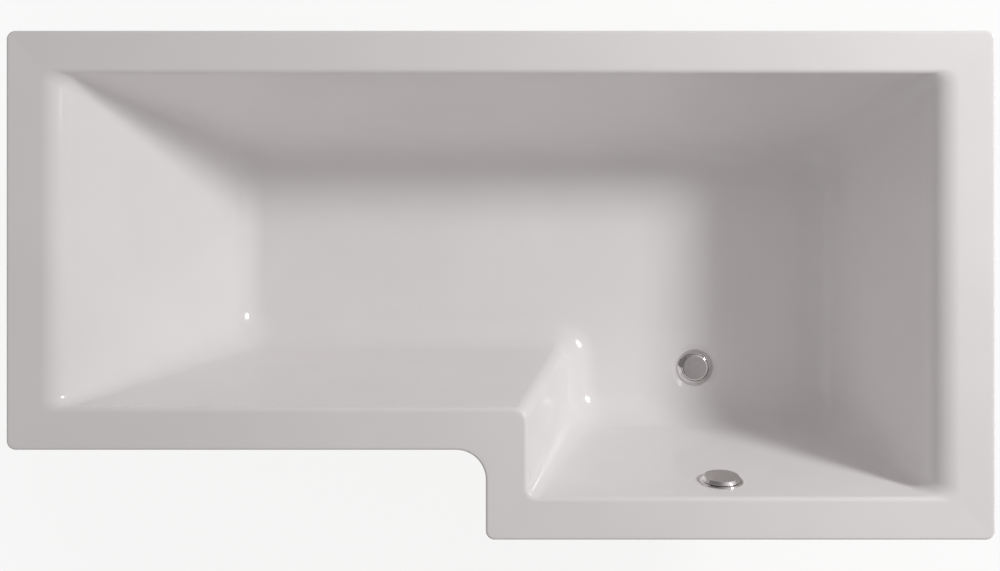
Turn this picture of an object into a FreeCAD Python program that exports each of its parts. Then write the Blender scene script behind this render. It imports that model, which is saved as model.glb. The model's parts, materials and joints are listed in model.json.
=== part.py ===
import FreeCAD, Part

import math
import os
import re
from types import SimpleNamespace

import Sketcher
from FreeCAD import Placement, Rotation, Vector

# L-shaped acrylic shower bath on a leg set, with a pop-up waste worked from the overflow knob.
# Millimetres. The origin is on the ground under the middle of the rim: +X runs to the showering end,
# +Y to the wall side and +Z up.

SIZES = [
    # Plan and height
    ("bath_length", 1650, "rim, head end to showering end"),
    ("bath_width", 850, "rim, wall side to front of the showering end"),
    ("shower_step", 150, "how far the showering end stands out past the narrow end"),
    ("shower_length", 850, "length of the wide showering end"),
    ("rim_height", 540, "top of the rim above the ground"),
    ("floor_rise", 140, "floor of the well above the ground, which the legs and the waste need"),
    # Rim
    ("rim_side", 70, "outer edge to well along the sides and the notch"),
    ("rim_head", 84, "outer edge to well at the head end"),
    ("rim_tap", 97, "outer edge to well at the showering end"),
    ("lip_height", 35, "turned-down lip round the rim"),
    ("lip_edge", 4, "rounding of the rim's outer top edge"),
    ("plan_corner", 15, "outer corners of the rim in plan"),
    ("notch_round", 50, "inside corner of the rim in plan"),
    ("side_roll", 9, "radius from rim to wall along the sides"),
    ("end_roll", 50, "radius from rim to wall at the two ends"),
    # Well
    ("wall_run", 93, "how far a wall leans in from rim to floor"),
    ("head_run", 245, "how far the backrest leans in from rim to floor"),
    ("corner_top", 15, "upright corners at the rim"),
    ("corner_floor", 70, "upright corners at the floor"),
    ("nose_top", 8, "upright nose at the notch, at the rim, on the outside"),
    ("nose_floor", 24, "upright nose at the notch, at the floor, on the outside"),
    ("floor_round", 65, "radius from wall to floor"),
    ("acrylic", 5, "formed acrylic sheet"),
    ("backing", 3, "sprayed glass fibre"),
    ("backing_drop", 32, "rim to the top edge of the glass fibre"),
    ("backing_gap", 1, "glass fibre's edge to the waste recess"),
    # Timber
    ("batten_width", 40, "rim battens"),
    ("batten_height", 20, "rim battens"),
    ("batten_gap", 3, "batten to lip, and batten to batten"),
    ("board", 18, "base board"),
    ("board_margin", 3, "board's edge inside the flat of the floor"),
    ("board_notch", 100, "width of the board's opening for the waste"),
    # Rails
    ("rail_width", 40, "channel"),
    ("rail_depth", 25, "channel"),
    ("rail_gauge", 2, "channel wall"),
    ("rail_overhang", 20, "leg to the end of its rail"),
    ("head_rail_reach", 425, "head end to the first rail"),
    ("middle_rail_reach", 85, "notch to the middle rail"),
    ("tap_rail_reach", 335, "showering end to the last rail"),
    ("screw_dia", 4.5, "wood screw"),
    ("screw_head_dia", 9, "wood screw"),
    ("screw_head_height", 3, "wood screw"),
    ("screw_length", 16, "wood screw under its head"),
    ("screw_inset", 25, "board's edge to the screws"),
    ("screw_pitch", 20, "between the screws across a rail"),
    ("screw_gap", 0.25, "radial gap of a screw or leg in its rail"),
    ("thread_gap", 0.05, "radial gap of a plain-cut thread"),
    # Legs
    ("leg_inset", 113, "outer edge of the rim to the legs"),
    ("rod_dia", 10, "leg"),
    ("rod_chamfer", 1, "leg's ends"),
    ("rod_seat", 8, "ground to the leg's lower end"),
    ("rod_spare", 6, "leg left over its nut when fully let down"),
    ("leg_extend", 25, "how far a leg can be let down"),
    ("nut_across", 17, "leg nut across its flats"),
    ("nut_height", 8, "leg nut"),
    ("foot_dia", 50, "foot"),
    ("foot_plate", 6, "foot"),
    ("foot_boss_dia", 24, "foot"),
    ("foot_height", 24, "foot"),
    ("foot_hole_dia", 5.5, "floor screw hole"),
    ("foot_hole_spacing", 36, "between a foot's floor screw holes"),
    # Waste
    ("waste_from_tap", 445, "showering end to the waste"),
    ("waste_from_front", 264, "front of the rim to the waste"),
    ("recess_dia", 92, "moulded recess round the waste"),
    ("recess_depth", 4, "moulded recess round the waste"),
    ("waste_hole_dia", 58, "hole in the floor"),
    ("flange_dia", 71, "chrome flange"),
    ("flange_edge", 0.6, "upright edge of the flange"),
    ("flange_bevel", 8.4, "width of the flange's sloping face"),
    ("flange_thickness", 5.4, "chrome flange"),
    ("flange_seal", 1.5, "rubber under the flange"),
    ("dish_dia", 53.6, "flange's opening at its top"),
    ("dish_drop", 0.4, "height of the slope below that opening"),
    ("cup_dia", 52.8, "flange's cup round the plug"),
    ("cup_depth", 7.4, "top of the flange to the plug's seat"),
    ("seat_dia", 46, "inner edge of the plug's seat"),
    ("seat_drop", 2.5, "slope of the plug's seat"),
    ("neck_dia", 57, "outside of the flange's cup"),
    ("neck_floor", 8.5, "under the plug's seat"),
    ("tail_dia", 47.8, "threaded tail of the flange"),
    ("tail_bore", 40, "threaded tail of the flange"),
    ("tail_length", 36, "recess to the end of the tail"),
    ("grate_height", 5, "grate that guides the plug"),
    ("grate_hole_dia", 11, "water hole of the grate"),
    ("grate_pitch", 26, "circle of the grate's water holes"),
    ("seal_gap", 0.5, "radial gap of a seal round what passes it"),
    ("plug_dia", 51.5, "plug cap"),
    ("plug_flat_dia", 47, "flat top of the plug cap"),
    ("plug_height", 4, "plug cap"),
    ("plug_sink", 0.9, "plug's top under the flange's top when shut"),
    ("plug_lift", 10, "travel of the plug"),
    ("plug_seal_dia", 47, "rubber under the plug"),
    ("plug_seal", 1.7, "rubber under the plug"),
    ("stem_dia", 8, "plug stem"),
    ("slide_fit", 0.08, "radial gap of what turns or slides"),
    ("body_seal", 2, "rubber over the waste body"),
    ("collar_dia", 74, "top of the waste body"),
    ("collar", 5, "top of the waste body"),
    ("body_dia", 62, "waste body"),
    ("body_wall", 4, "waste body"),
    ("body_height", 59, "waste body down to its taper"),
    ("body_taper", 8, "waste body"),
    ("outlet_dia", 47.8, "threaded outlet"),
    ("outlet_bore", 38, "threaded outlet"),
    ("outlet_length", 14, "threaded outlet"),
    ("tail_end_show", 4, "tail's end inside the chamber"),
    ("branch_drop", 41, "top of the waste body to its branch"),
    ("branch_reach", 70, "waste's axis to the end of its branch"),
    ("branch_dia", 34, "branch and overflow spigot"),
    ("branch_bore", 28, "branch and overflow spigot"),
    # Plug lift
    ("rocker_reach", 18, "pin to the plug's stem"),
    ("rocker_rise", 10, "pin to the cable"),
    ("rocker_width", 8, "rocker along its pin"),
    ("rocker_arm", 4, "thickness of the rocker's arms"),
    ("rocker_hub_dia", 8, "rocker round its pin"),
    ("rocker_tip_dia", 8, "rounded end under the stem"),
    ("rocker_gap", 0.3, "rocker's end to the stem"),
    ("pin_dia", 4, "rocker pin"),
    ("pin_length", 46, "rocker pin"),
    # Overflow
    ("overflow_depth", 75, "rim to the overflow's centre"),
    ("overflow_hole_dia", 52, "hole in the wall"),
    ("face_dia", 75, "back ring"),
    ("face_thickness", 3, "back ring"),
    ("face_bevel", 1.5, "edge of the back ring"),
    ("face_hub_dia", 14, "spindle's bearing in the back ring"),
    ("face_hub_length", 12, "spindle's bearing in the back ring"),
    ("face_hole_dia", 14, "water hole of the back ring"),
    ("face_pitch", 32, "circle of the water holes and the screws"),
    ("knob_dia", 67, "knob"),
    ("knob_edge", 1.2, "upright edge of the knob"),
    ("knob_face_dia", 59, "flat of the knob"),
    ("knob_height", 7.4, "knob"),
    ("knob_gap", 1.4, "water gap behind the knob"),
    ("knob_wall", 2.5, "knob"),
    ("knob_hub_dia", 14, "knob round its spindle"),
    ("thrust_gap", 0.3, "knob's hub to the back ring"),
    ("spindle_dia", 8, "spindle"),
    ("spindle_reach", 22, "wall to the spindle's crank"),
    ("crank_dia", 16, "crank disc"),
    ("crank_disc", 4, "crank disc"),
    ("crank_throw", 4, "crank pin off the spindle's axis"),
    ("crank_pin_dia", 4, "crank pin"),
    ("crank_pin_length", 6, "crank pin"),
    ("gasket", 2, "rubber behind the wall"),
    ("overflow_flange_dia", 70, "overflow body against its gasket"),
    ("overflow_flange", 4, "overflow body against its gasket"),
    ("overflow_body_dia", 64, "overflow body"),
    ("overflow_body_depth", 36, "overflow body"),
    ("overflow_wall", 3, "overflow body"),
    ("spigot_drop", 62, "overflow body's middle to the end of its spigot"),
    ("post_dia", 9, "screw posts of the overflow body"),
    ("face_screw_dia", 4, "screws of the back ring"),
    ("face_screw_head_dia", 7, "screws of the back ring"),
    ("face_screw_head_height", 2.2, "screws of the back ring"),
    ("face_screw_length", 16, "screws of the back ring"),
    # Hose and cable
    ("hose_bore", 25, "overflow hose"),
    ("rib_pitch", 6, "overflow hose"),
    ("rib_depth", 2.5, "overflow hose"),
    ("hose_seal", 2, "rubber between hose and spigot"),
    ("hose_nut_dia", 46, "union nut"),
    ("hose_nut_length", 24, "union nut"),
    ("hose_nut_gap", 0.3, "radial gap of the union nut"),
    ("grip_dia", 5, "finger groove of the union nut"),
    ("cable_dia", 5, "control cable"),
    ("cable_stop", 4, "bar that holds an end of the cable"),
    ("cable_stop_width", 10, "bar that holds an end of the cable"),
    ("cable_stop_reach", 40, "axis of waste or overflow to that bar"),
    ("cable_waste_end", 26, "axis of the waste to the cable's end"),
    ("cable_overflow_end", 9, "axis of the overflow to the cable's end"),
]

GRATE_HOLES = 5
FACE_HOLES = 4
GRIPS = 12
ROLL_STEPS = 3

ALIASES = {alias for alias, value, note in SIZES}

# Places that several pieces share, written in the sheet's own names
HEAD_X = "(-bath_length / 2)"
TAP_X = "(bath_length / 2)"
NOTCH_X = "(bath_length / 2 - shower_length)"
BACK_Y = "(bath_width / 2)"
FRONT_Y = "(-bath_width / 2)"
NARROW_Y = f"({FRONT_Y} + shower_step)"
WELL_DEPTH = "(rim_height - floor_rise)"
BOARD_Z = "(floor_rise - acrylic - backing)"
RAIL_Z = f"({BOARD_Z} - board)"
LEAN = f"atan(wall_run / {WELL_DEPTH})"
HEAD_LEAN = f"atan(head_run / {WELL_DEPTH})"
FLAT_SIDE = f"(floor_round * tan(45 deg - {LEAN} / 2) + board_margin)"
FLAT_HEAD = f"(floor_round * tan(45 deg - {HEAD_LEAN} / 2) + board_margin)"

BOARD_HEAD_X = f"({HEAD_X} + rim_head + head_run + {FLAT_HEAD})"
BOARD_TAP_X = f"({TAP_X} - rim_tap - wall_run - {FLAT_SIDE})"
BOARD_NOTCH_X = f"({NOTCH_X} + rim_side + wall_run + {FLAT_SIDE})"
BOARD_BACK_Y = f"({BACK_Y} - rim_side - wall_run - {FLAT_SIDE})"
BOARD_NARROW_Y = f"({NARROW_Y} + rim_side + wall_run + {FLAT_SIDE})"
BOARD_FRONT_Y = f"({FRONT_Y} + rim_side + wall_run + {FLAT_SIDE})"

WASTE_X = f"({TAP_X} - waste_from_tap)"
WASTE_Y = f"({FRONT_Y} + waste_from_front)"
RECESS_Z = "(floor_rise - recess_depth)"
FLANGE_TOP = "(flange_seal + flange_thickness)"
SEAT = f"({FLANGE_TOP} - cup_depth)"
NECK_END = f"({SEAT} - neck_floor)"
PLUG_UNDER = f"({FLANGE_TOP} - plug_sink - plug_height)"
BODY_TOP = "(-acrylic - body_seal)"
BODY_SHOULDER = f"({BODY_TOP} - body_height)"
OUTLET_TOP = f"({BODY_SHOULDER} - body_taper)"
OUTLET_END = f"({OUTLET_TOP} - outlet_length)"
CHAMBER_TOP = "(tail_end_show - tail_length)"
BRANCH = f"({BODY_TOP} - branch_drop)"
ROCKER = f"({BRANCH} - rocker_rise)"
SWING = "asin(plug_lift / (2 * rocker_reach))"

WALL = "(acrylic + backing)"
OVERFLOW_Y = f"({FRONT_Y} + rim_side + overflow_depth * wall_run / {WELL_DEPTH})"
OVERFLOW_Z = "(rim_height - overflow_depth)"
OVERFLOW_BACK = f"({WALL} + gasket)"
OVERFLOW_MIDDLE = f"({OVERFLOW_BACK} + overflow_body_depth / 2)"
OVERFLOW_END = f"({OVERFLOW_BACK} + overflow_body_depth - overflow_wall)"
SPIGOT_Y = f"({OVERFLOW_Y} - {OVERFLOW_MIDDLE} * cos({LEAN}))"
SPIGOT_Z = f"({OVERFLOW_Z} - {OVERFLOW_MIDDLE} * sin({LEAN}))"
KNOB_BACK = "(face_thickness + knob_gap)"
KNOB_TOP = f"({KNOB_BACK} + knob_height)"

doc = FreeCAD.newDocument("shower_bath")
sheet = doc.addObject("Spreadsheet::Sheet", "sizes")
for row, (alias, value, note) in enumerate(SIZES, 1):
    sheet.set(f"A{row}", note)
    sheet.set(f"B{row}", str(value))
    sheet.setAlias(f"B{row}", alias)
doc.recompute()


def size(formula):
    """Value of a formula in the sheet's names."""
    return float(sheet.evalExpression(formula))


def linked(formula):
    """The formula as an object binds it, with each name read from the sheet."""
    return re.sub(r"[a-z_]+", lambda word: ("sizes." if word[0] in ALIASES else "") + word[0], formula)


V = SimpleNamespace(**{alias: size(alias) for alias in ALIASES})
V.well_depth = size(WELL_DEPTH)
nodes = {}


# Building blocks

def keep(label, shape_object):
    """Name an object as one of the bath's pieces."""
    shape_object.Label = label
    nodes[label] = shape_object
    return shape_object


def place(shape_object, x, y, z):
    for axis, formula in zip("xyz", (x, y, z)):
        shape_object.setExpression(f"Placement.Base.{axis}", linked(formula))
    return shape_object


def place_on_wall(shape_object):
    """Stand a piece on the overflow's place: its own +Z points out of the wall into the well."""
    shape_object.Placement = Placement(Vector(), Rotation(Vector(-1, 0, 0), 90))
    shape_object.setExpression("Placement.Rotation.Angle", linked(f"90 deg - {LEAN}"))
    return place(shape_object, WASTE_X, OVERFLOW_Y, OVERFLOW_Z)


def place_in_waste(shape_object):
    return place(shape_object, WASTE_X, WASTE_Y, RECESS_Z)


def new_body(name):
    return doc.addObject("PartDesign::Body", name)


def new_sketch(body, plane_role, height="0"):
    sketch = body.newObject("Sketcher::SketchObject", "profile")
    plane = next(item for item in body.Origin.OriginFeatures if item.Role == plane_role)
    sketch.AttachmentSupport = [(plane, "")]
    sketch.MapMode = "FlatFace"
    sketch.setExpression("AttachmentOffset.Base.z", linked(height))
    return sketch


def bind(sketch, constraint, formula):
    sketch.setExpression(f"Constraints[{sketch.addConstraint(constraint)}]", linked(formula))


def add_polygon(sketch, corners):
    """Closed outline whose corners are each held at formulas from the sketch's origin."""
    first = sketch.GeometryCount
    count = len(corners)
    points = [Vector(size(x), size(y), 0) for x, y in corners]
    for index in range(count):
        sketch.addGeometry(Part.LineSegment(points[index], points[(index + 1) % count]))
    for index in range(count):
        following = first + (index + 1) % count
        sketch.addConstraint(Sketcher.Constraint("Coincident", first + index, 2, following, 1))
    for index, (x, y) in enumerate(corners):
        bind(sketch, Sketcher.Constraint("DistanceX", -1, 1, first + index, 1, points[index].x), x)
        bind(sketch, Sketcher.Constraint("DistanceY", -1, 1, first + index, 1, points[index].y), y)


def add_circle(sketch, diameter, x="0", y="0"):
    centre = Vector(size(x), size(y), 0)
    index = sketch.addGeometry(Part.Circle(centre, Vector(0, 0, 1), size(diameter) / 2))
    bind(sketch, Sketcher.Constraint("DistanceX", -1, 1, index, 3, centre.x), x)
    bind(sketch, Sketcher.Constraint("DistanceY", -1, 1, index, 3, centre.y), y)
    bind(sketch, Sketcher.Constraint("Diameter", index, size(diameter)), diameter)


def extrude(body, sketch, length, against_normal=False):
    feature = body.newObject("PartDesign::Pad", "pad")
    feature.Profile = sketch
    feature.Reversed = against_normal
    feature.setExpression("Length", linked(length))
    return feature


def carve(body, sketch, length, along_normal=False):
    """Pocket from the sketch, against its normal unless told otherwise. It has to take something away."""
    doc.recompute()
    before = body.Shape.Volume
    feature = body.newObject("PartDesign::Pocket", "pocket")
    feature.Profile = sketch
    feature.Reversed = along_normal
    feature.setExpression("Length", linked(length))
    doc.recompute()
    if not body.Shape.Volume < before:
        raise RuntimeError(f"a pocket of {body.Name} cuts nothing")
    return feature


def turn(body, corners, kind="PartDesign::Revolution"):
    """Full turn about the body's own Z of an outline given as radius and height."""
    sketch = new_sketch(body, "XZ_Plane")
    add_polygon(sketch, corners)
    feature = body.newObject(kind, "turning")
    feature.Profile = sketch
    feature.ReferenceAxis = (sketch, ["V_Axis"])
    feature.Angle = 360
    return feature


def repeat_round(body, feature, count):
    pattern = body.newObject("PartDesign::PolarPattern", "pattern")
    pattern.Originals = [feature]
    pattern.Axis = (feature.Profile[0], ["N_Axis"])
    pattern.Angle = 360
    pattern.Occurrences = count
    body.Tip = pattern


def round_edges(body, radius, wanted):
    doc.recompute()
    base = body.Tip
    names = [f"Edge{number}" for number, edge in enumerate(base.Shape.Edges, 1) if wanted(edge)]
    feature = body.newObject("PartDesign::Fillet", "rounding")
    feature.Base = (base, names)
    feature.setExpression("Radius", linked(radius))


def ring(label, outer, inner, height, bottom="0"):
    body = new_body(label)
    sketch = new_sketch(body, "XY_Plane", bottom)
    add_circle(sketch, outer)
    add_circle(sketch, inner)
    extrude(body, sketch, height)
    return keep(label, body)


def box(label, low, high):
    solid = doc.addObject("Part::Box", label)
    for side, start, end in zip(("Length", "Width", "Height"), low, high):
        solid.setExpression(side, linked(f"{end} - {start}"))
    return place(solid, *low)


def cylinder(name, diameter, height):
    solid = doc.addObject("Part::Cylinder", name)
    solid.setExpression("Radius", linked(f"{diameter} / 2"))
    solid.setExpression("Height", linked(height))
    return solid


def cone(name, bottom_dia, top_dia, height):
    solid = doc.addObject("Part::Cone", name)
    solid.setExpression("Radius1", linked(f"{bottom_dia} / 2"))
    solid.setExpression("Radius2", linked(f"{top_dia} / 2"))
    solid.setExpression("Height", linked(height))
    return solid


def fuse(name, solids):
    joined = doc.addObject("Part::MultiFuse", name)
    joined.Shapes = solids
    return joined


def cut(name, base, tools):
    result = doc.addObject("Part::Cut", name)
    result.Base = base
    result.Tool = tools[0] if len(tools) == 1 else fuse(name + "_tools", tools)
    return result


def from_shape(name, shape):
    feature = doc.addObject("Part::Feature", name)
    feature.Shape = shape
    return feature


def group(label, master, places):
    """One node of like pieces: the master's shape set down at each place."""
    doc.recompute()
    copies = [master.Shape.translated(Vector(*(size(formula) for formula in at))) for at in places]
    return keep(label, from_shape(label, Part.makeCompound(copies)))


def plan_outline(inset):
    """Corners of the L-shaped rim, moved in by the inset."""
    return [
        (f"{HEAD_X} + {inset}", f"{NARROW_Y} + {inset}"),
        (f"{NOTCH_X} + {inset}", f"{NARROW_Y} + {inset}"),
        (f"{NOTCH_X} + {inset}", f"{FRONT_Y} + {inset}"),
        (f"{TAP_X} - {inset}", f"{FRONT_Y} + {inset}"),
        (f"{TAP_X} - {inset}", f"{BACK_Y} - {inset}"),
        (f"{HEAD_X} + {inset}", f"{BACK_Y} - {inset}"),
    ]


# The well: one surface that the sheet's two faces and the glass fibre share, pushed out by an offset

def roll_inset(depth, radius, lean):
    """How far inside the sharp rim edge the surface lies at a depth, with that edge rolled over."""
    tangent = radius * math.tan((math.pi / 2 - lean) / 2)
    if depth >= tangent * math.cos(lean):
        return depth * math.tan(lean)
    return math.sqrt(max(radius ** 2 - (radius - depth) ** 2, 0)) - tangent


def well_section(offset, depth):
    """Level outline of the surface at a depth under its own rim plane."""
    def side(edge, inward, run, roll):
        lean = math.atan(run / V.well_depth)
        growth = offset * (1 - math.sin(lean)) / math.cos(lean)
        return edge + inward * (roll_inset(depth, roll - offset, lean) - growth)

    share = depth / V.well_depth
    corner = V.corner_top + share * (V.corner_floor - V.corner_top) + offset
    nose = V.nose_top + share * (V.nose_floor - V.nose_top) + V.acrylic + V.backing - offset
    head = side(size(HEAD_X) + V.rim_head, 1, V.head_run, V.end_roll)
    tap = side(size(TAP_X) - V.rim_tap, -1, V.wall_run, V.end_roll)
    notch = side(size(NOTCH_X) + V.rim_side, 1, V.wall_run, V.side_roll)
    back = side(size(BACK_Y) - V.rim_side, -1, V.wall_run, V.side_roll)
    front = side(size(FRONT_Y) + V.rim_side, 1, V.wall_run, V.side_roll)
    narrow = side(size(NARROW_Y) + V.rim_side, 1, V.wall_run, V.side_roll)
    corners = [
        (head, narrow, corner),
        (notch, narrow, nose),
        (notch, front, corner),
        (tap, front, corner),
        (tap, back, corner),
        (head, back, corner),
    ]
    return rounded_outline(corners, V.rim_height - offset - depth)


def rounded_outline(corners, z):
    """Wire through square corners, each with its own radius."""
    arcs = []
    for index, (x, y, radius) in enumerate(corners):
        corner = Vector(x, y, z)
        before = Vector(*corners[index - 1][:2], z) - corner
        after = Vector(*corners[(index + 1) % len(corners)][:2], z) - corner
        before.normalize()
        after.normalize()
        middle = corner + (before + after) * radius * (1 - math.sqrt(0.5))
        arcs.append((corner + before * radius, middle, corner + after * radius))
    edges = []
    for index, (start, middle, end) in enumerate(arcs):
        edges.append(Part.Arc(start, middle, end).toShape())
        edges.append(Part.LineSegment(end, arcs[(index + 1) % len(arcs)][0]).toShape())
    return Part.Wire(edges)


def well(offset, start):
    """Everything inside the surface, from a depth under its rim plane down to the floor."""
    turned = math.pi / 2 - math.atan(V.wall_run / V.well_depth)
    steps = range(1, ROLL_STEPS + 1)
    side_depths = [(V.side_roll - offset) * (1 - math.cos(turned * step / ROLL_STEPS)) for step in steps]
    end_depths = [
        (V.end_roll - offset) * (1 - math.cos(turned * (1 + step / ROLL_STEPS) / 2))
        for step in range(ROLL_STEPS + 1)
    ]
    depths = [start] + sorted(depth for depth in side_depths + end_depths if depth > start)
    rolled = Part.makeLoft([well_section(offset, depth) for depth in depths], True, False)
    straight = [well_section(offset, depths[-1]), well_section(offset, V.well_depth)]
    solid = rolled.fuse(Part.makeLoft(straight, True, True)).Solids[0]
    floor = V.rim_height - offset - V.well_depth
    floor_edges = [edge for edge in solid.Edges if abs(edge.BoundBox.ZMax - floor) < 1e-3]
    return solid.makeFillet(V.floor_round + offset, floor_edges)


def rim_block(name, inset, bottom, height, corner, notch):
    """L-shaped block with rounded upright edges."""
    body = new_body(name)
    sketch = new_sketch(body, "XY_Plane", bottom)
    add_polygon(sketch, plan_outline(inset))
    extrude(body, sketch, height)
    inside = Vector(size(f"{NOTCH_X} + {inset}"), size(f"{NARROW_Y} + {inset}"), 0)

    def upright(edge):
        return edge.BoundBox.XLength + edge.BoundBox.YLength < 1e-3

    def at_notch(edge):
        middle = edge.CenterOfMass
        return math.hypot(middle.x - inside.x, middle.y - inside.y) < 1e-3

    round_edges(body, corner, lambda edge: upright(edge) and not at_notch(edge))
    round_edges(body, notch, lambda edge: upright(edge) and at_notch(edge))
    return body


def make_shell():
    """Acrylic shell and the glass fibre behind it."""
    rim = rim_block("rim", "0", "rim_height - lip_height", "lip_height", "plan_corner", "notch_round")
    round_edges(rim, "lip_edge", lambda edge: edge.BoundBox.ZMin > V.rim_height - 1e-3)
    hollow = rim_block(
        "rim_hollow", "acrylic", "rim_height - lip_height - acrylic", "lip_height",
        "plan_corner - acrylic", "notch_round + acrylic",
    )
    inner_well = from_shape("inner_well", well(0, 0))
    outer_well = from_shape("outer_well", well(V.acrylic, 0))
    wall = V.acrylic + V.backing
    backing_well = from_shape("backing_well", well(wall, V.backing_drop - wall))

    recess = cone("recess", "(recess_dia - 2 * recess_depth)", "(recess_dia + 2 * recess_depth)",
                  "2 * recess_depth")
    place(recess, WASTE_X, WASTE_Y, RECESS_Z)
    recess_under = cone("recess_under", "(recess_dia - 2 * recess_depth + 2 * acrylic * tan(22.5 deg))",
                        "(recess_dia + 2 * acrylic * sqrt(2))", "recess_depth + acrylic")
    place(recess_under, WASTE_X, WASTE_Y, f"{RECESS_Z} - acrylic")
    waste_hole = cylinder("waste_hole", "waste_hole_dia", "3 * acrylic")
    place(waste_hole, WASTE_X, WASTE_Y, f"{RECESS_Z} - 2 * acrylic")
    overflow_hole = from_shape("overflow_hole", wall_bore("overflow_hole_dia"))

    sheet_solid = fuse("sheet_solid", [cut("rim_pan", rim, [hollow]), outer_well, recess_under])
    openings = [inner_well, recess, waste_hole, overflow_hole]
    keep("bath_shell", cut("bath_shell", sheet_solid, openings))

    waste_clearance = cylinder(
        "waste_clearance", "(recess_dia + 2 * acrylic * tan(22.5 deg) + 2 * backing_gap)", "3 * backing")
    place(waste_clearance, WASTE_X, WASTE_Y, f"{BOARD_Z} - backing")
    openings = [outer_well, waste_clearance, overflow_hole]
    keep("glass_fibre_backing", cut("glass_fibre_backing", backing_well, openings))


def wall_bore(diameter):
    """Round hole through the front wall, square to it."""
    lean = math.atan(V.wall_run / V.well_depth)
    normal = Vector(0, math.cos(lean), math.sin(lean))
    centre = Vector(size(WASTE_X), size(OVERFLOW_Y), size(OVERFLOW_Z))
    reach = 3 * (V.acrylic + V.backing)
    return Part.makeCylinder(size(diameter) / 2, 2 * reach, centre - normal * reach, normal)


# Timber and legs

def make_battens():
    """Timber bonded under the rim, one length along each side."""
    near = "(acrylic + batten_gap)"
    far = f"({near} + batten_width)"
    past = f"({far} + batten_gap)"
    top = "(rim_height - acrylic)"
    bottom = f"({top} - batten_height)"
    outer_x = (f"({HEAD_X} + {near})", f"({TAP_X} - {near})")
    head_x = (f"({HEAD_X} + {near})", f"({HEAD_X} + {far})")
    tap_x = (f"({TAP_X} - {far})", f"({TAP_X} - {near})")
    notch_x = (f"({NOTCH_X} + {near})", f"({NOTCH_X} + {far})")
    back_y = (f"({BACK_Y} - {far})", f"({BACK_Y} - {near})")
    narrow_y = (f"({NARROW_Y} + {near})", f"({NARROW_Y} + {far})")
    front_y = (f"({FRONT_Y} + {near})", f"({FRONT_Y} + {far})")
    past_back = f"({BACK_Y} - {past})"
    past_front = f"({FRONT_Y} + {past})"
    spans = {
        "back": (outer_x, back_y),
        "head": (head_x, (f"({NARROW_Y} + {past})", past_back)),
        "tap": (tap_x, (past_front, past_back)),
        "narrow": ((outer_x[0], notch_x[1]), narrow_y),
        "notch": (notch_x, (past_front, f"({narrow_y[0]} - batten_gap)")),
        "shower": ((notch_x[0], outer_x[1]), front_y),
    }
    for side, ((west, east), (south, north)) in spans.items():
        label = f"rim_batten_{side}"
        keep(label, box(label, (west, south, bottom), (east, north, top)))


RAILS = {
    "head": (f"({HEAD_X} + head_rail_reach)", NARROW_Y, BOARD_NARROW_Y),
    "middle": (f"({NOTCH_X} + middle_rail_reach)", NARROW_Y, BOARD_NARROW_Y),
    "tap": (f"({TAP_X} - tap_rail_reach)", FRONT_Y, BOARD_FRONT_Y),
}


def screw_rows(board_front):
    """Rows of rail screws: how far they are from the front and back edges of the board."""
    return [f"({board_front} + screw_inset)", f"({BOARD_BACK_Y} - screw_inset)"]


def screw_places():
    return [
        (f"({x} {side} screw_pitch / 2)", y)
        for x, rim_front, board_front in RAILS.values()
        for y in screw_rows(board_front)
        for side in "-+"
    ]


def leg_places():
    """Where the six legs stand, by name."""
    places = {}
    for rail, (x, rim_front, board_front) in RAILS.items():
        places[f"{rail}_front"] = (x, f"({rim_front} + leg_inset)")
        places[f"{rail}_back"] = (x, f"({BACK_Y} - leg_inset)")
    return places


def make_board():
    body = new_body("base_board")
    outline = new_sketch(body, "XY_Plane", BOARD_Z)
    add_polygon(outline, [
        (BOARD_HEAD_X, BOARD_NARROW_Y),
        (BOARD_NOTCH_X, BOARD_NARROW_Y),
        (BOARD_NOTCH_X, BOARD_FRONT_Y),
        (BOARD_TAP_X, BOARD_FRONT_Y),
        (BOARD_TAP_X, BOARD_BACK_Y),
        (BOARD_HEAD_X, BOARD_BACK_Y),
    ])
    extrude(body, outline, "board", against_normal=True)
    opening = new_sketch(body, "XY_Plane", BOARD_Z)
    left = f"({WASTE_X} - board_notch / 2)"
    right = f"({WASTE_X} + board_notch / 2)"
    add_polygon(opening, [(left, FRONT_Y), (right, FRONT_Y), (right, WASTE_Y), (left, WASTE_Y)])
    carve(body, opening, "board")
    rounded_end = new_sketch(body, "XY_Plane", BOARD_Z)
    add_circle(rounded_end, "board_notch", WASTE_X, WASTE_Y)
    carve(body, rounded_end, "board")
    pilots = new_sketch(body, "XY_Plane", RAIL_Z)
    for x, y in screw_places():
        add_circle(pilots, "(screw_dia + 2 * thread_gap)", x, y)
    carve(body, pilots, "screw_length - rail_gauge", along_normal=True)
    keep("base_board", body)


def make_rails():
    """Channels across the board, open side down, with a leg through each end."""
    half = "rail_width / 2"
    inner = "(rail_width / 2 - rail_gauge)"
    channel = [
        (f"-{half}", "-rail_depth"), (f"-{half}", "0"), (half, "0"), (half, "-rail_depth"),
        (inner, "-rail_depth"), (inner, "-rail_gauge"),
        (f"-{inner}", "-rail_gauge"), (f"-{inner}", "-rail_depth"),
    ]
    back_end = f"({BACK_Y} - leg_inset + rail_overhang)"
    clear_hole = "(screw_dia + 2 * screw_gap)"
    for rail, (x, rim_front, board_front) in RAILS.items():
        body = new_body(f"rail_{rail}")
        profile = new_sketch(body, "XZ_Plane")
        add_polygon(profile, channel)
        extrude(body, profile, f"{back_end} - ({rim_front} + leg_inset - rail_overhang)")
        holes = new_sketch(body, "XY_Plane")
        for y in (f"{BACK_Y} - leg_inset", f"{rim_front} + leg_inset"):
            add_circle(holes, "(rod_dia + 2 * screw_gap)", "0", f"{y} - {back_end}")
        for y in screw_rows(board_front):
            for side in "-+":
                add_circle(holes, clear_hole, f"{side}screw_pitch / 2", f"{y} - {back_end}")
        carve(body, holes, "rail_gauge")
        keep(f"rail_{rail}", place(body, x, back_end, RAIL_Z))


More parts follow.
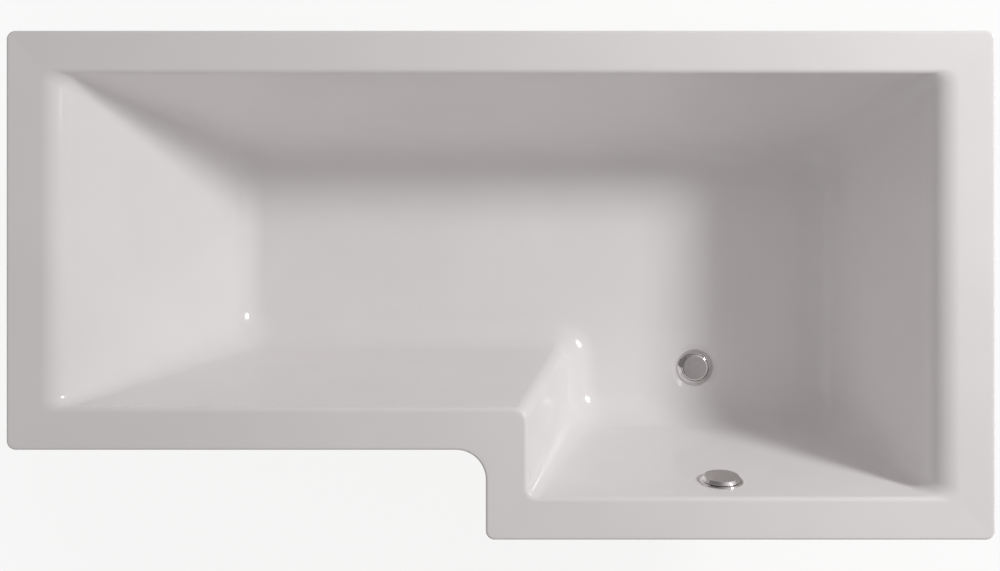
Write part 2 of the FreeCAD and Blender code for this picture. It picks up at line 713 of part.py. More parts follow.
def screw_outline(diameter, head_dia, head_height, length):
    """Half outline of a pan-head screw that points up, with its head under z = 0."""
    shank = f"{diameter} / 2"
    head = f"{head_dia} / 2"
    return [
        ("0", f"-{head_height}"), (f"{head} - {head_height} / 2", f"-{head_height}"),
        (head, f"-{head_height} / 2"), (head, "0"), (shank, "0"),
        (shank, f"{length} - {diameter}"), ("0", length),
    ]


def make_rail_screws():
    master = new_body("rail_screw")
    length = "(screw_length - thread_gap)"
    turn(master, screw_outline("screw_dia", "screw_head_dia", "screw_head_height", length))
    under = f"{RAIL_Z} - rail_gauge"
    group("rail_screws", master, [(x, y, under) for x, y in screw_places()])


def make_legs():
    """Threaded legs with their feet, and the nuts that lock them to the rails."""
    length = f"({RAIL_Z} + nut_height + leg_extend + rod_spare - rod_seat)"
    thin = "(rod_dia / 2 - rod_chamfer)"
    rod = [
        ("0", "0"), (thin, "0"), ("rod_dia / 2", "rod_chamfer"),
        ("rod_dia / 2", f"{length} - rod_chamfer"), (thin, length), ("0", length),
    ]
    socket = "(rod_dia / 2 + thread_gap)"
    foot = [
        ("0", "0"), ("foot_dia / 2", "0"), ("foot_dia / 2", "foot_plate"),
        ("foot_boss_dia / 2", "foot_plate"), ("foot_boss_dia / 2", "foot_height"),
        (socket, "foot_height"), (socket, "rod_seat"), ("0", "rod_seat"),
    ]
    for name, (x, y) in leg_places().items():
        body = new_body(f"leg_rod_{name}")
        turn(body, rod)
        keep(f"leg_rod_{name}", place(body, x, y, "rod_seat"))
        body = new_body(f"leg_foot_{name}")
        turn(body, foot)
        holes = new_sketch(body, "XY_Plane")
        for side in "-+":
            add_circle(holes, "foot_hole_dia", f"{side}foot_hole_spacing / 2")
        carve(body, holes, "foot_plate", along_normal=True)
        keep(f"leg_foot_{name}", place(body, x, y, "0"))

    nut = new_body("leg_nut")
    hexagon = new_sketch(nut, "XY_Plane")
    angles = [60 * side for side in range(6)]
    add_polygon(hexagon, [
        (f"nut_across / sqrt(3) * cos({angle} deg)", f"nut_across / sqrt(3) * sin({angle} deg)")
        for angle in angles
    ])
    add_circle(hexagon, "(rod_dia + 2 * thread_gap)")
    extrude(nut, hexagon, "nut_height")
    group("leg_nuts_upper", nut, [(x, y, RAIL_Z) for x, y in leg_places().values()])
    below = f"{RAIL_Z} - rail_gauge - nut_height"
    group("leg_nuts_lower", nut, [(x, y, below) for x, y in leg_places().values()])


# Waste: heights are measured from the recess in the floor

def make_waste_flange():
    body = new_body("waste_flange")
    turn(body, [
        ("tail_bore / 2", "-tail_length"), ("tail_dia / 2", "-tail_length"), ("tail_dia / 2", NECK_END),
        ("neck_dia / 2", NECK_END), ("neck_dia / 2", "flange_seal"), ("flange_dia / 2", "flange_seal"),
        ("flange_dia / 2", "flange_seal + flange_edge"), ("flange_dia / 2 - flange_bevel", FLANGE_TOP),
        ("dish_dia / 2", FLANGE_TOP), ("cup_dia / 2", f"{FLANGE_TOP} - dish_drop"),
        ("cup_dia / 2", f"{SEAT} + seat_drop"), ("seat_dia / 2", SEAT), ("tail_bore / 2", SEAT),
    ])
    grate = new_sketch(body, "XY_Plane", "-tail_length")
    add_circle(grate, "(tail_bore / 2 + tail_dia / 2)")
    add_circle(grate, "(stem_dia + 2 * slide_fit)")
    extrude(body, grate, "grate_height")
    water = new_sketch(body, "XY_Plane", "-tail_length")
    add_circle(water, "grate_hole_dia", "grate_pitch / 2")
    repeat_round(body, carve(body, water, "grate_height", along_normal=True), GRATE_HOLES)
    keep("waste_flange", place_in_waste(body))


def make_waste_seals():
    past_neck = "(neck_dia + 2 * seal_gap)"
    below_cap = f"({PLUG_UNDER} - plug_seal)"
    place_in_waste(ring("flange_seal", "(flange_dia - 2 * flange_edge)", past_neck, "flange_seal"))
    place_in_waste(ring("body_seal", "collar_dia", past_neck, "body_seal", BODY_TOP))
    place_in_waste(ring("plug_seal", "plug_seal_dia", "(stem_dia + 2 * slide_fit)", "plug_seal", below_cap))


def make_plug():
    stem_end = f"({ROCKER} - plug_lift / 2 + rocker_tip_dia / 2 + rocker_gap)"
    body = new_body("plug")
    turn(body, [
        ("0", stem_end), ("stem_dia / 2", stem_end), ("stem_dia / 2", PLUG_UNDER),
        ("plug_dia / 2", PLUG_UNDER), ("plug_dia / 2", f"{PLUG_UNDER} + plug_height / 2"),
        ("plug_flat_dia / 2", f"{PLUG_UNDER} + plug_height"), ("0", f"{PLUG_UNDER} + plug_height"),
    ])
    keep("plug", place_in_waste(body))


def add_cable_stop(body, sketch, thickness, along_normal=False):
    """Bar across a pipe, with the hole that holds the cable's end."""
    half_width = "cable_stop_width / 2"
    half_length = "(branch_bore + branch_dia) / 4"
    add_polygon(sketch, [
        (f"-{half_width}", f"-{half_length}"), (half_width, f"-{half_length}"),
        (half_width, half_length), (f"-{half_width}", half_length),
    ])
    add_circle(sketch, "(cable_dia + 2 * slide_fit)")
    extrude(body, sketch, thickness, against_normal=not along_normal)


def make_waste_body():
    body = new_body("waste_body")
    turn(body, [
        ("0", BODY_TOP), ("collar_dia / 2", BODY_TOP), ("collar_dia / 2", f"{BODY_TOP} - collar"),
        ("body_dia / 2", f"{BODY_TOP} - collar"), ("body_dia / 2", BODY_SHOULDER),
        ("outlet_dia / 2", OUTLET_TOP), ("outlet_dia / 2", OUTLET_END), ("0", OUTLET_END),
    ])
    branch = new_sketch(body, "XZ_Plane")
    add_circle(branch, "branch_dia", "0", BRANCH)
    extrude(body, branch, "branch_reach")
    thread = "(tail_dia / 2 + thread_gap)"
    chamber = "(body_dia / 2 - body_wall)"
    neck = "(neck_dia / 2 + seal_gap)"
    turn(body, [
        ("0", BODY_TOP), (neck, BODY_TOP), (neck, f"{NECK_END} - seal_gap"),
        (thread, f"{NECK_END} - seal_gap"), (thread, CHAMBER_TOP), (chamber, CHAMBER_TOP),
        (chamber, f"{BODY_SHOULDER} + body_wall"),
        ("outlet_bore / 2", f"{OUTLET_TOP} + body_wall"), ("outlet_bore / 2", OUTLET_END), ("0", OUTLET_END),
    ], "PartDesign::Groove")
    bore = new_sketch(body, "XZ_Plane", "rocker_reach")
    add_circle(bore, "branch_bore", "0", BRANCH)
    carve(body, bore, "branch_reach - rocker_reach", along_normal=True)
    stop = new_sketch(body, "XZ_Plane", "cable_stop_reach")
    stop.setExpression("AttachmentOffset.Base.y", linked(BRANCH))
    add_cable_stop(body, stop, "cable_stop", along_normal=True)
    pin_seat = new_sketch(body, "YZ_Plane", "-pin_length / 2")
    add_circle(pin_seat, "(pin_dia + 2 * thread_gap)", "-rocker_reach", ROCKER)
    carve(body, pin_seat, "pin_length", along_normal=True)
    keep("waste_body", place_in_waste(body))


def make_rocker():
    """Bell crank that lifts the plug's stem, at its lowest, and the pin that it turns on."""
    body = new_body("plug_rocker")
    start = "-rocker_width / 2"
    half = "rocker_arm / 2"
    arms = new_sketch(body, "YZ_Plane", start)
    add_polygon(arms, [
        (f"-{half}", f"-{half}"), ("rocker_reach", f"-{half}"), ("rocker_reach", half),
        (half, half), (half, "rocker_rise"), (f"-{half}", "rocker_rise"),
    ])
    extrude(body, arms, "rocker_width")
    for diameter, y, z in (("rocker_tip_dia", "rocker_reach", "0"), ("rocker_hub_dia", "0", "0")):
        boss = new_sketch(body, "YZ_Plane", start)
        add_circle(boss, diameter, y, z)
        extrude(body, boss, "rocker_width")
    bore = new_sketch(body, "YZ_Plane", start)
    add_circle(bore, "(pin_dia + 2 * slide_fit)")
    carve(body, bore, "rocker_width", along_normal=True)
    body.Placement = Placement(Vector(), Rotation(Vector(-1, 0, 0), 10))
    body.setExpression("Placement.Rotation.Angle", linked(SWING))
    keep("plug_rocker", place(body, WASTE_X, f"{WASTE_Y} - rocker_reach", f"{RECESS_Z} + {ROCKER}"))

    pin = new_body("rocker_pin")
    section = new_sketch(pin, "YZ_Plane", "-pin_length / 2")
    add_circle(section, "pin_dia")
    extrude(pin, section, "pin_length")
    keep("rocker_pin", place(pin, WASTE_X, f"{WASTE_Y} - rocker_reach", f"{RECESS_Z} + {ROCKER}"))


# Overflow: each piece stands on the wall, with heights measured into the well

def make_overflow_faceplate():
    body = new_body("overflow_faceplate")
    bore = "(spindle_dia / 2 + slide_fit)"
    turn(body, [
        (bore, "-face_hub_length"), ("face_hub_dia / 2", "-face_hub_length"), ("face_hub_dia / 2", "0"),
        ("face_dia / 2", "0"), ("face_dia / 2", "face_thickness - face_bevel"),
        ("face_dia / 2 - face_bevel", "face_thickness"), (bore, "face_thickness"),
    ])
    screws = new_sketch(body, "XY_Plane")
    for side in "-+":
        add_circle(screws, "(face_screw_dia + 2 * screw_gap)", f"{side}face_pitch / 2")
    carve(body, screws, "face_thickness", along_normal=True)
    water = new_sketch(body, "XY_Plane")
    diagonal = "face_pitch / 2 * cos(45 deg)"
    add_circle(water, "face_hole_dia", diagonal, diagonal)
    repeat_round(body, carve(body, water, "face_thickness", along_normal=True), FACE_HOLES)
    keep("overflow_faceplate", place_on_wall(body))


def make_overflow_body():
    body = new_body("overflow_body")
    for diameter, depth in (
        ("overflow_flange_dia", "overflow_flange"),
        ("overflow_body_dia", "overflow_body_depth"),
    ):
        disc = new_sketch(body, "XY_Plane", f"-{OVERFLOW_BACK}")
        add_circle(disc, diameter)
        extrude(body, disc, depth, against_normal=True)
    extrude(body, spigot_sketch(body, "branch_dia"), "spigot_drop", against_normal=True)
    chamber = new_sketch(body, "XY_Plane", f"-{OVERFLOW_BACK}")
    add_circle(chamber, "(overflow_body_dia - 2 * overflow_wall)")
    carve(body, chamber, "overflow_body_depth - overflow_wall")
    carve(body, spigot_sketch(body, "branch_bore"), "spigot_drop")
    posts = new_sketch(body, "XY_Plane", f"-{OVERFLOW_END}")
    pilots = new_sketch(body, "XY_Plane")
    for side in "-+":
        add_circle(posts, "post_dia", f"{side}face_pitch / 2")
        add_circle(pilots, "(face_screw_dia + 2 * thread_gap)", f"{side}face_pitch / 2")
    extrude(body, posts, OVERFLOW_END)
    carve(body, pilots, "face_screw_length - face_thickness")
    stop = spigot_sketch(body)
    stop.setExpression("AttachmentOffset.Base.z", linked(f"-cable_stop_reach * cos({LEAN})"))
    below = f"-{OVERFLOW_MIDDLE} - cable_stop_reach * sin({LEAN})"
    stop.setExpression("AttachmentOffset.Base.y", linked(below))
    add_cable_stop(body, stop, "cable_stop")
    keep("overflow_body", place_on_wall(body))


def spigot_sketch(body, diameter=None):
    """Sketch square to the plumb line through the middle of the overflow body."""
    sketch = new_sketch(body, "XZ_Plane")
    sketch.AttachmentOffset = Placement(Vector(), Rotation(Vector(-1, 0, 0), 10))
    sketch.setExpression("AttachmentOffset.Rotation.Angle", linked(LEAN))
    sketch.setExpression("AttachmentOffset.Base.y", linked(f"-{OVERFLOW_MIDDLE}"))
    if diameter:
        add_circle(sketch, diameter)
    return sketch


def make_overflow_knob():
    socket = f"({KNOB_TOP} - knob_wall)"
    spindle = "spindle_dia / 2"
    bore = f"({spindle} + thread_gap)"
    body = new_body("overflow_knob")
    turn(body, [
        (bore, "face_thickness + thrust_gap"), ("knob_hub_dia / 2", "face_thickness + thrust_gap"),
        ("knob_hub_dia / 2", socket), ("knob_face_dia / 2 - knob_wall", socket),
        ("knob_dia / 2 - knob_wall", KNOB_BACK), ("knob_dia / 2", KNOB_BACK),
        ("knob_dia / 2", f"{KNOB_BACK} + knob_edge"), ("knob_face_dia / 2", KNOB_TOP),
        ("0", KNOB_TOP), ("0", socket), (bore, socket),
    ])
    keep("overflow_knob", place_on_wall(body))

    body = new_body("overflow_spindle")
    crank_top = "(-spindle_reach)"
    crank_end = f"({crank_top} - crank_disc)"
    turn(body, [
        ("0", crank_end), ("crank_dia / 2", crank_end), ("crank_dia / 2", crank_top),
        (spindle, crank_top), (spindle, f"{socket} - thread_gap"), ("0", f"{socket} - thread_gap"),
    ])
    crank_pin = new_sketch(body, "XY_Plane", crank_end)
    add_circle(crank_pin, "crank_pin_dia", "-crank_throw * cos(45 deg)", "crank_throw * cos(45 deg)")
    extrude(body, crank_pin, "crank_pin_length", against_normal=True)
    keep("overflow_spindle", place_on_wall(body))


def make_overflow_fixings():
    place_on_wall(ring("overflow_gasket", "overflow_flange_dia", "(overflow_hole_dia + 2 * seal_gap)",
                       "gasket", f"-{OVERFLOW_BACK}"))
    master = new_body("overflow_screw")
    length = "(face_screw_length - thread_gap)"
    upright = screw_outline("face_screw_dia", "face_screw_head_dia", "face_screw_head_height", length)
    turn(master, [(radius, f"-({height})") for radius, height in upright])
    places = [(f"{side}face_pitch / 2", "0", "face_thickness") for side in "-+"]
    place_on_wall(group("overflow_screws", master, places))


# Hose and cable share one line: plumb down from the overflow, round one bend, level into the waste

def hose_line():
    """Corner points of the line, and the bend's radius."""
    x = size(WASTE_X)
    top = Vector(x, size(SPIGOT_Y), size(SPIGOT_Z))
    level = size(f"{RECESS_Z} + {BRANCH}")
    end = Vector(x, size(WASTE_Y), level)
    bend = end.y - V.branch_reach - V.hose_seal - V.branch_dia - top.y
    return top, end, bend


def bent_wire(start, end, bend):
    """Plumb run, quarter bend and level run from start to end."""
    corner = Vector(start.x, start.y, end.z)
    upper = corner + Vector(0, 0, bend)
    lower = corner + Vector(0, bend, 0)
    centre = corner + Vector(0, bend, bend)
    middle = centre - Vector(0, bend, bend) * math.sqrt(0.5)
    return Part.Wire([
        Part.LineSegment(start, upper).toShape(),
        Part.Arc(upper, middle, lower).toShape(),
        Part.LineSegment(lower, end).toShape(),
    ])


def round_pipe(wire, diameter):
    """Solid round bar along a wire that starts plumb, with its volume checked against its length."""
    section = Part.Wire(Part.makeCircle(diameter / 2, wire.Vertexes[0].Point, Vector(0, 0, -1)))
    pipe = wire.makePipeShell([section], True, False)
    expected = math.pi * diameter ** 2 / 4 * wire.Length
    if abs(pipe.Volume / expected - 1) > 1e-3:
        raise RuntimeError("a pipe's volume doesn't match its length")
    return pipe


def make_hose():
    top, end, bend = hose_line()
    start = top - Vector(0, 0, V.spigot_drop + V.hose_seal)
    finish = end - Vector(0, V.branch_reach + V.hose_seal, 0)
    plumb = start.z - finish.z - bend
    curve = bend * math.pi / 2
    length = plumb + curve + V.branch_dia
    centre = Vector(start.x, start.y + bend, finish.z + bend)

    def ring_at(distance, diameter):
        """Circle square to the hose's line, with its start always towards +X."""
        angle = min(max(distance - plumb, 0) / bend, math.pi / 2)
        along = Vector(0, math.sin(angle), -math.cos(angle))
        if distance < plumb:
            middle = start + along * distance
        else:
            middle = centre - Vector(0, math.cos(angle), math.sin(angle)) * bend
            middle += along * max(distance - plumb - curve, 0)
        circle = Part.Circle(middle, along, diameter / 2)
        circle.XAxis = Vector(1, 0, 0)
        return Part.Wire(circle.toShape())

    cuff = V.branch_dia
    count = int((length - 2 * cuff) / V.rib_pitch)
    pitch = (length - 2 * cuff) / count
    crest = V.branch_dia
    root = crest - 2 * V.rib_depth
    rings = [ring_at(0, crest)]
    for rib in range(count):
        valley = cuff + rib * pitch
        profile = ((0.0, crest), (0.2, root), (0.6, root), (0.8, crest))
        rings += [ring_at(valley + share * pitch, diameter) for share, diameter in profile]
    rings += [ring_at(length - cuff, crest), ring_at(length, crest)]
    outside = Part.makeLoft(rings, True, True)
    inside = round_pipe(bent_wire(start, finish, bend), V.hose_bore)
    keep("overflow_hose", from_shape("overflow_hose", outside.cut(inside)))

    cable = bent_wire(top - Vector(0, 0, V.cable_overflow_end), end - Vector(0, V.cable_waste_end, 0), bend)
    keep("control_cable", from_shape("control_cable", round_pipe(cable, V.cable_dia)))


def make_union(label, angle, *at):
    """Seal and union nut where the hose meets a spigot that points along the nut's own -Z."""
    seal = ring(f"hose_seal_{label}", "branch_dia", "branch_bore", "hose_seal", "-hose_seal")
    nut = ring(f"hose_nut_{label}", "hose_nut_dia", "(branch_dia + 2 * hose_nut_gap)",
               "hose_nut_length", "-hose_nut_length / 2")
    grip = new_sketch(nut, "XY_Plane", "-hose_nut_length / 2")
    add_circle(grip, "grip_dia", "hose_nut_dia / 2 + grip_dia / 4")
    repeat_round(nut, carve(nut, grip, "hose_nut_length", along_normal=True), GRIPS)
    for piece in (seal, nut):
        piece.Placement = Placement(Vector(), Rotation(Vector(1, 0, 0), angle))
        place(piece, *at)


make_shell()
make_battens()
make_board()
make_rails()
make_rail_screws()
make_legs()
make_waste_flange()
make_waste_seals()
make_plug()
make_waste_body()
make_rocker()
make_overflow_faceplate()
make_overflow_body()
make_overflow_knob()
make_overflow_fixings()
make_hose()
make_union("upper", 0, WASTE_X, SPIGOT_Y, f"{SPIGOT_Z} - spigot_drop")
make_union("lower", -90, WASTE_X, f"{WASTE_Y} - branch_reach", f"{RECESS_Z} + {BRANCH}")

doc.recompute()
for item in doc.Objects:
    if "Invalid" in item.State or "Error" in item.State:
        raise RuntimeError(f"{item.Label} failed: {item.State}")
for label, piece in nodes.items():
    if piece.Shape.isNull() or not piece.Shape.isValid():
        raise RuntimeError(f"{label} has no valid shape")

os.makedirs("parts", exist_ok=True)
for label, piece in nodes.items():
    piece.Shape.exportStep(f"parts/{label}.step")
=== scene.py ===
import json
import math

import bmesh
import bpy
from bpy.props import FloatProperty, FloatVectorProperty, IntProperty, PointerProperty
from bpy.types import NodeSocket, Operator, Panel, PropertyGroup
from mathutils import Matrix, Vector, noise
from mathutils.geometry import delaunay_2d_cdt

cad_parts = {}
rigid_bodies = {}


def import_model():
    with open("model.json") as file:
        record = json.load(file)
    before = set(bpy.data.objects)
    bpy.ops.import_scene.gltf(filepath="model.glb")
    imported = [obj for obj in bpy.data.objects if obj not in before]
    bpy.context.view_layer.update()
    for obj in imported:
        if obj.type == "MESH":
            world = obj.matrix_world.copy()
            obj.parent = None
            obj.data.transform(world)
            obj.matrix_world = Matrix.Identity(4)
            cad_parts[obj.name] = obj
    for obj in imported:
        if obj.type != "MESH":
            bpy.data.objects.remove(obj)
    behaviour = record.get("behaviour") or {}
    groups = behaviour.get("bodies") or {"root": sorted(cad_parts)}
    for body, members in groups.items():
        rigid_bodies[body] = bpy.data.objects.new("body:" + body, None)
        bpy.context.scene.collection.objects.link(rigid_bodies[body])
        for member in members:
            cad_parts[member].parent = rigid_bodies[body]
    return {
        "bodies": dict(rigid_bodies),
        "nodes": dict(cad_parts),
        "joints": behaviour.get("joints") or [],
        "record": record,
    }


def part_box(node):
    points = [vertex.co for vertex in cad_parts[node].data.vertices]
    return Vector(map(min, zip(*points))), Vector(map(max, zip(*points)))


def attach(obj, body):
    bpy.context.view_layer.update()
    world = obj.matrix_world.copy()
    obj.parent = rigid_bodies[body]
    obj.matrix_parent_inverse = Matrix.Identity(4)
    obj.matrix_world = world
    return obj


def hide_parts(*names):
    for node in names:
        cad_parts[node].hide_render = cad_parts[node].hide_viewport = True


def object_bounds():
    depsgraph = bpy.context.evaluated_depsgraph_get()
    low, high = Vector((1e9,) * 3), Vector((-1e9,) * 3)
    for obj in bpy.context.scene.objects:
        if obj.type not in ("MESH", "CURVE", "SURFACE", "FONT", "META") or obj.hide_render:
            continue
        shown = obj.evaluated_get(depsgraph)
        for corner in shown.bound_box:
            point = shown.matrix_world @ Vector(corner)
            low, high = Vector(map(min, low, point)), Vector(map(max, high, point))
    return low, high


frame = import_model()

bl_info = {
    "name": "Shower bath",
    "version": (1, 0, 0),
    "blender": (4, 5, 0),
    "location": "View3D > Sidebar > Shower bath",
    "description": "Dresses the packed solids of an L-shaped shower bath",
    "category": "Object",
}

MM = 0.001
SHARP = 40.0  # degrees: an edge that turns by more is drawn as an edge
WELD = 1e-6  # points closer than this are one
MOST_OF_SIDE = 0.49  # share of a side that one rounding may take
WHITE = "#FFFFFF"
CAD_LOW, CAD_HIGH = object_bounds()
JOINTS = {joint["name"]: joint for joint in frame["joints"]}
MOUNTS = {mount["name"]: mount for mount in frame["record"]["mounts"]}
LEGS = [body for body in frame["bodies"] if body.startswith("leg_")]

WASTE_PLACE = Vector(MOUNTS["waste_outlet"]["pos_m"]).to_2d()
OVERFLOW_PLACE = Vector(JOINTS["knob_turn"]["pos_m"])
OVERFLOW_OUT = Vector(JOINTS["knob_turn"]["axis"])


def length_of(title, note, default):
    return FloatProperty(name=title, description=note, default=default, unit="LENGTH", precision=4)


def colour_of(title, note, code):
    return FloatVectorProperty(
        name=title, description=note, subtype="COLOR", size=4, min=0, max=1, default=linear(code))


def linear(code):
    """Linear colour of an sRGB hex value."""
    parts = [int(code[start:start + 2], 16) / 255 for start in (1, 3, 5)]
    return tuple(
        part / 12.92 if part <= 0.04045 else ((part + 0.055) / 1.055) ** 2.4 for part in parts
    ) + (1.0,)


class BathShellSizes(PropertyGroup):
    length: length_of("Length", "Rim, head end to showering end", CAD_HIGH.x - CAD_LOW.x)
    width: length_of("Width", "Rim, wall side to front of the showering end", CAD_HIGH.y - CAD_LOW.y)
    rim_height: length_of("Rim height", "Top of the rim above the ground", CAD_HIGH.z)
    narrow_width: length_of("Narrow width", "Rim width at the head end", 0.700)
    shower_length: length_of("Shower length", "Length of the wide showering end", 0.850)
    floor_rise: length_of("Floor rise", "Floor of the well above the ground", 0.140)
    rim_side: length_of("Side rim", "Outer edge to well along the sides", 0.070)
    rim_head: length_of("Head rim", "Outer edge to well at the head end", 0.084)
    rim_tap: length_of("Shower rim", "Outer edge to well at the showering end", 0.097)
    rim_fall: length_of("Rim fall", "How far the rim falls towards the well", 0.0016)
    lip: length_of("Lip", "Turned-down lip round the rim", 0.035)
    lip_edge: length_of("Lip edge", "Rounding of the rim's outer top edge", 0.004)
    plan_corner: length_of("Plan corner", "Outer corners of the rim in plan", 0.015)
    notch_round: length_of("Notch round", "Inside corner of the rim in plan", 0.050)
    side_roll: length_of("Side roll", "Radius from rim to wall along the sides", 0.009)
    end_roll: length_of("End roll", "Radius from rim to wall at the two ends", 0.050)
    wall_run: length_of("Wall run", "How far a wall leans in from rim to floor", 0.093)
    head_run: length_of("Head run", "How far the backrest leans in from rim to floor", 0.245)
    corner_top: length_of("Corner at rim", "Upright corners at the rim", 0.021)
    corner_floor: length_of("Corner at floor", "Upright corners at the floor", 0.070)
    nose_top: length_of("Nose at rim", "Upright nose at the notch, at the rim", 0.022)
    nose_floor: length_of("Nose at floor", "Upright nose at the notch, at the floor", 0.032)
    floor_round: length_of("Floor round", "Radius from wall to floor", 0.065)
    sheet: length_of("Sheet", "Thickness of the acrylic", 0.005)
    backing: length_of("Backing", "Thickness of the glass fibre", 0.003)
    backing_drop: length_of("Backing drop", "Rim to the top edge of the glass fibre", 0.032)
    recess: length_of("Recess", "Diameter of the recess round the waste", 0.092)
    recess_depth: length_of("Recess depth", "Depth of the recess round the waste", 0.004)
    waste_hole: length_of("Waste hole", "Hole in the floor", 0.058)
    overflow_hole: length_of("Overflow hole", "Hole in the wall", 0.052)
    acrylic: colour_of("Acrylic", "Colour of the sheet", "#F3F1F1")


class FittingSizes(PropertyGroup):
    chrome: colour_of("Chrome", "Colour of the plating", "#E2E0DF")
    plastic: colour_of("Plastic", "Colour of the moulded plastic", "#E4E3DF")
    thread_pitch: length_of("Thread pitch", "Pitch of the legs' thread", 0.0015)
    thread_depth: length_of("Thread depth", "Depth of the legs' thread", 0.0014)
    foot_ribs: IntProperty(
        name="Foot ribs", description="Stiffening ribs of a foot", default=8, min=3, max=16)
    nut_across: length_of("Nut", "Leg nut across its flats", 0.017)


class StageSettings(PropertyGroup):
    camera_height: length_of("Camera height", "Camera above the rim", 2.316)
    lens: FloatProperty(name="Lens", description="Focal length in millimetres", default=50.0, min=1)
    lamp_place: FloatVectorProperty(
        name="Lamp place", description="Middle of the main lamp", default=(2.70, 1.255, 2.54),
        subtype="TRANSLATION")
    lamp_size: length_of("Lamp size", "Width of the main lamp", 0.66)
    lamp_power: FloatProperty(
        name="Lamp power", description="Power of the main lamp", default=66.0, min=0, unit="POWER")
    sky: FloatProperty(name="Sky", description="Strength of the light from all round", default=0.37, min=0)


# Node materials

def add(tree, kind, inputs=None, **settings):
    """Add a node with its settings. Inputs are values, or sockets to link, by name or number."""
    made = tree.nodes.new(kind)
    for field, value in settings.items():
        setattr(made, field, value)
    for key, value in (inputs or {}).items():
        if isinstance(value, NodeSocket):
            tree.links.new(value, made.inputs[key])
        else:
            made.inputs[key].default_value = value
    return made


def maths(tree, operation, *values):
    """Result of a sum on numbers or sockets."""
    return add(tree, "ShaderNodeMath", dict(enumerate(values)), operation=operation).outputs[0]


def start_material(name, **values):
    """New material with its shader's uniform values set, and the piece's own coordinates."""
    material = bpy.data.materials.new(name)
    material.use_nodes = True
    tree = material.node_tree
    shader = tree.nodes["Principled BSDF"]
    for socket, value in values.items():
        shader.inputs[socket.replace("_", " ")].default_value = value
    place = tree.nodes.new("ShaderNodeTexCoord").outputs["Object"]
    return material, tree, shader, place


def ramp(tree, factor, *stops):
    """Colour ramp through (position, colour) stops."""
    made = add(tree, "ShaderNodeValToRGB", {"Fac": factor})
    while len(made.color_ramp.elements) < len(stops):
        made.color_ramp.elements.new(0.5)
    for element, (position, colour) in zip(made.color_ramp.elements, stops):
        element.position = position
        element.color = linear(colour) if isinstance(colour, str) else colour
    return made.outputs["Color"]


def shaded(colour, share):
    """A colour darkened to a share of itself."""
    return tuple(part * share for part in colour[:3]) + (1.0,)


def cell_scale(millimetres):
    """Texture scale that gives features of about this size."""
    return 1 / (millimetres * MM)


def cloud(tree, place, millimetres, detail):
    """Noise with features of about this size."""
    return add(tree, "ShaderNodeTexNoise", {
        "Vector": place, "Scale": cell_scale(millimetres), "Detail": detail}).outputs["Fac"]


def cells(tree, place, millimetres):
    """Cells of about this size, each with its own values in red and green."""
    made = add(tree, "ShaderNodeTexVoronoi", {
        "Vector": place, "Scale": cell_scale(millimetres), "Randomness": 1.0})
    return add(tree, "ShaderNodeSeparateColor", {"Color": made.outputs["Color"]}).outputs


def paint(tree, shader, factor, *stops):
    """Base colour from a ramp."""
    tree.links.new(ramp(tree, factor, *stops), shader.inputs["Base Color"])


def spread(tree, value, low, high, start=0.0, end=1.0):
    """Result that goes from low to high as a value goes from start to end."""
    return add(tree, "ShaderNodeMapRange", {
        "Value": value, "From Min": start, "From Max": end, "To Min": low, "To Max": high}).outputs["Result"]


def gloss(tree, shader, value, low, high):
    """Roughness that goes from low to high with a value of 0 to 1."""
    tree.links.new(spread(tree, value, low, high), shader.inputs["Roughness"])


def relief(tree, shader, height, strength, millimetres):
    """Bump of this depth."""
    bump = add(tree, "ShaderNodeBump", {
        "Height": height, "Strength": strength, "Distance": millimetres * MM})
    tree.links.new(bump.outputs["Normal"], shader.inputs["Normal"])


def clouded(name, millimetres, detail, stops, low, high, grit=None, **values):
    """Material whose colour and roughness vary with one noise, over grit of a size and depth."""
    material, tree, shader, place = start_material(name, **values)
    patches = cloud(tree, place, millimetres, detail)
    paint(tree, shader, patches, *stops)
    gloss(tree, shader, patches, low, high)
    if grit:
        relief(tree, shader, cloud(tree, place, grit[0], 2.0), 0.4, grit[1])
    return material


def formed_acrylic():
    # Cast acrylic sheet, vacuum formed: a clear glossy skin over even white, with the faint long ripple
    # that the hot sheet keeps and a trace of uneven gloss.
    colour = tuple(bpy.context.scene.bath_shell.acrylic)
    material, tree, shader, place = start_material("formed_acrylic", IOR=1.49, Specular_IOR_Level=0.3)
    paint(tree, shader, cloud(tree, place, 180, 2.0), (0.35, shaded(colour, 0.975)), (0.65, colour))
    gloss(tree, shader, cloud(tree, place, 60, 3.0), 0.10, 0.15)
    relief(tree, shader, cloud(tree, place, 45, 1.0), 0.25, 0.05)
    return material


def sprayed_glass_fibre():
    # Chopped strands rolled into polyester resin: cream, half shiny, with pale strands lying every way
    # and a lumpy surface. Real strands are under a millimetre wide, drawn wider so that they show.
    material, tree, shader, place = start_material("sprayed_glass_fibre", IOR=1.55)
    twist = add(tree, "ShaderNodeTexNoise", {"Vector": place, "Scale": cell_scale(30), "Detail": 2.0})
    swirl = add(tree, "ShaderNodeVectorMath", {
        0: twist.outputs["Color"], "Scale": 0.03}, operation="SCALE")
    bent = add(tree, "ShaderNodeVectorMath", {
        0: place, 1: twist.outputs["Color"], 2: swirl.outputs["Vector"]}, operation="MULTIPLY_ADD")
    strands = []
    for turn, stretch in (((0.3, 0.2, 0.5), (1, 9, 1)), ((0.9, 0.4, 2.1), (9, 1, 2))):
        lay = add(tree, "ShaderNodeMapping", {
            "Vector": bent.outputs["Vector"], "Rotation": turn, "Scale": stretch})
        strands.append(cloud(tree, lay.outputs["Vector"], 22, 3.0))
    both = maths(tree, "MAXIMUM", *strands)
    paint(tree, shader, both, (0.42, "#B9A77C"), (0.56, "#CDBF9B"), (0.68, "#E6DEC8"))
    gloss(tree, shader, twist.outputs["Fac"], 0.30, 0.62)
    relief(tree, shader, both, 0.8, 0.8)
    return material


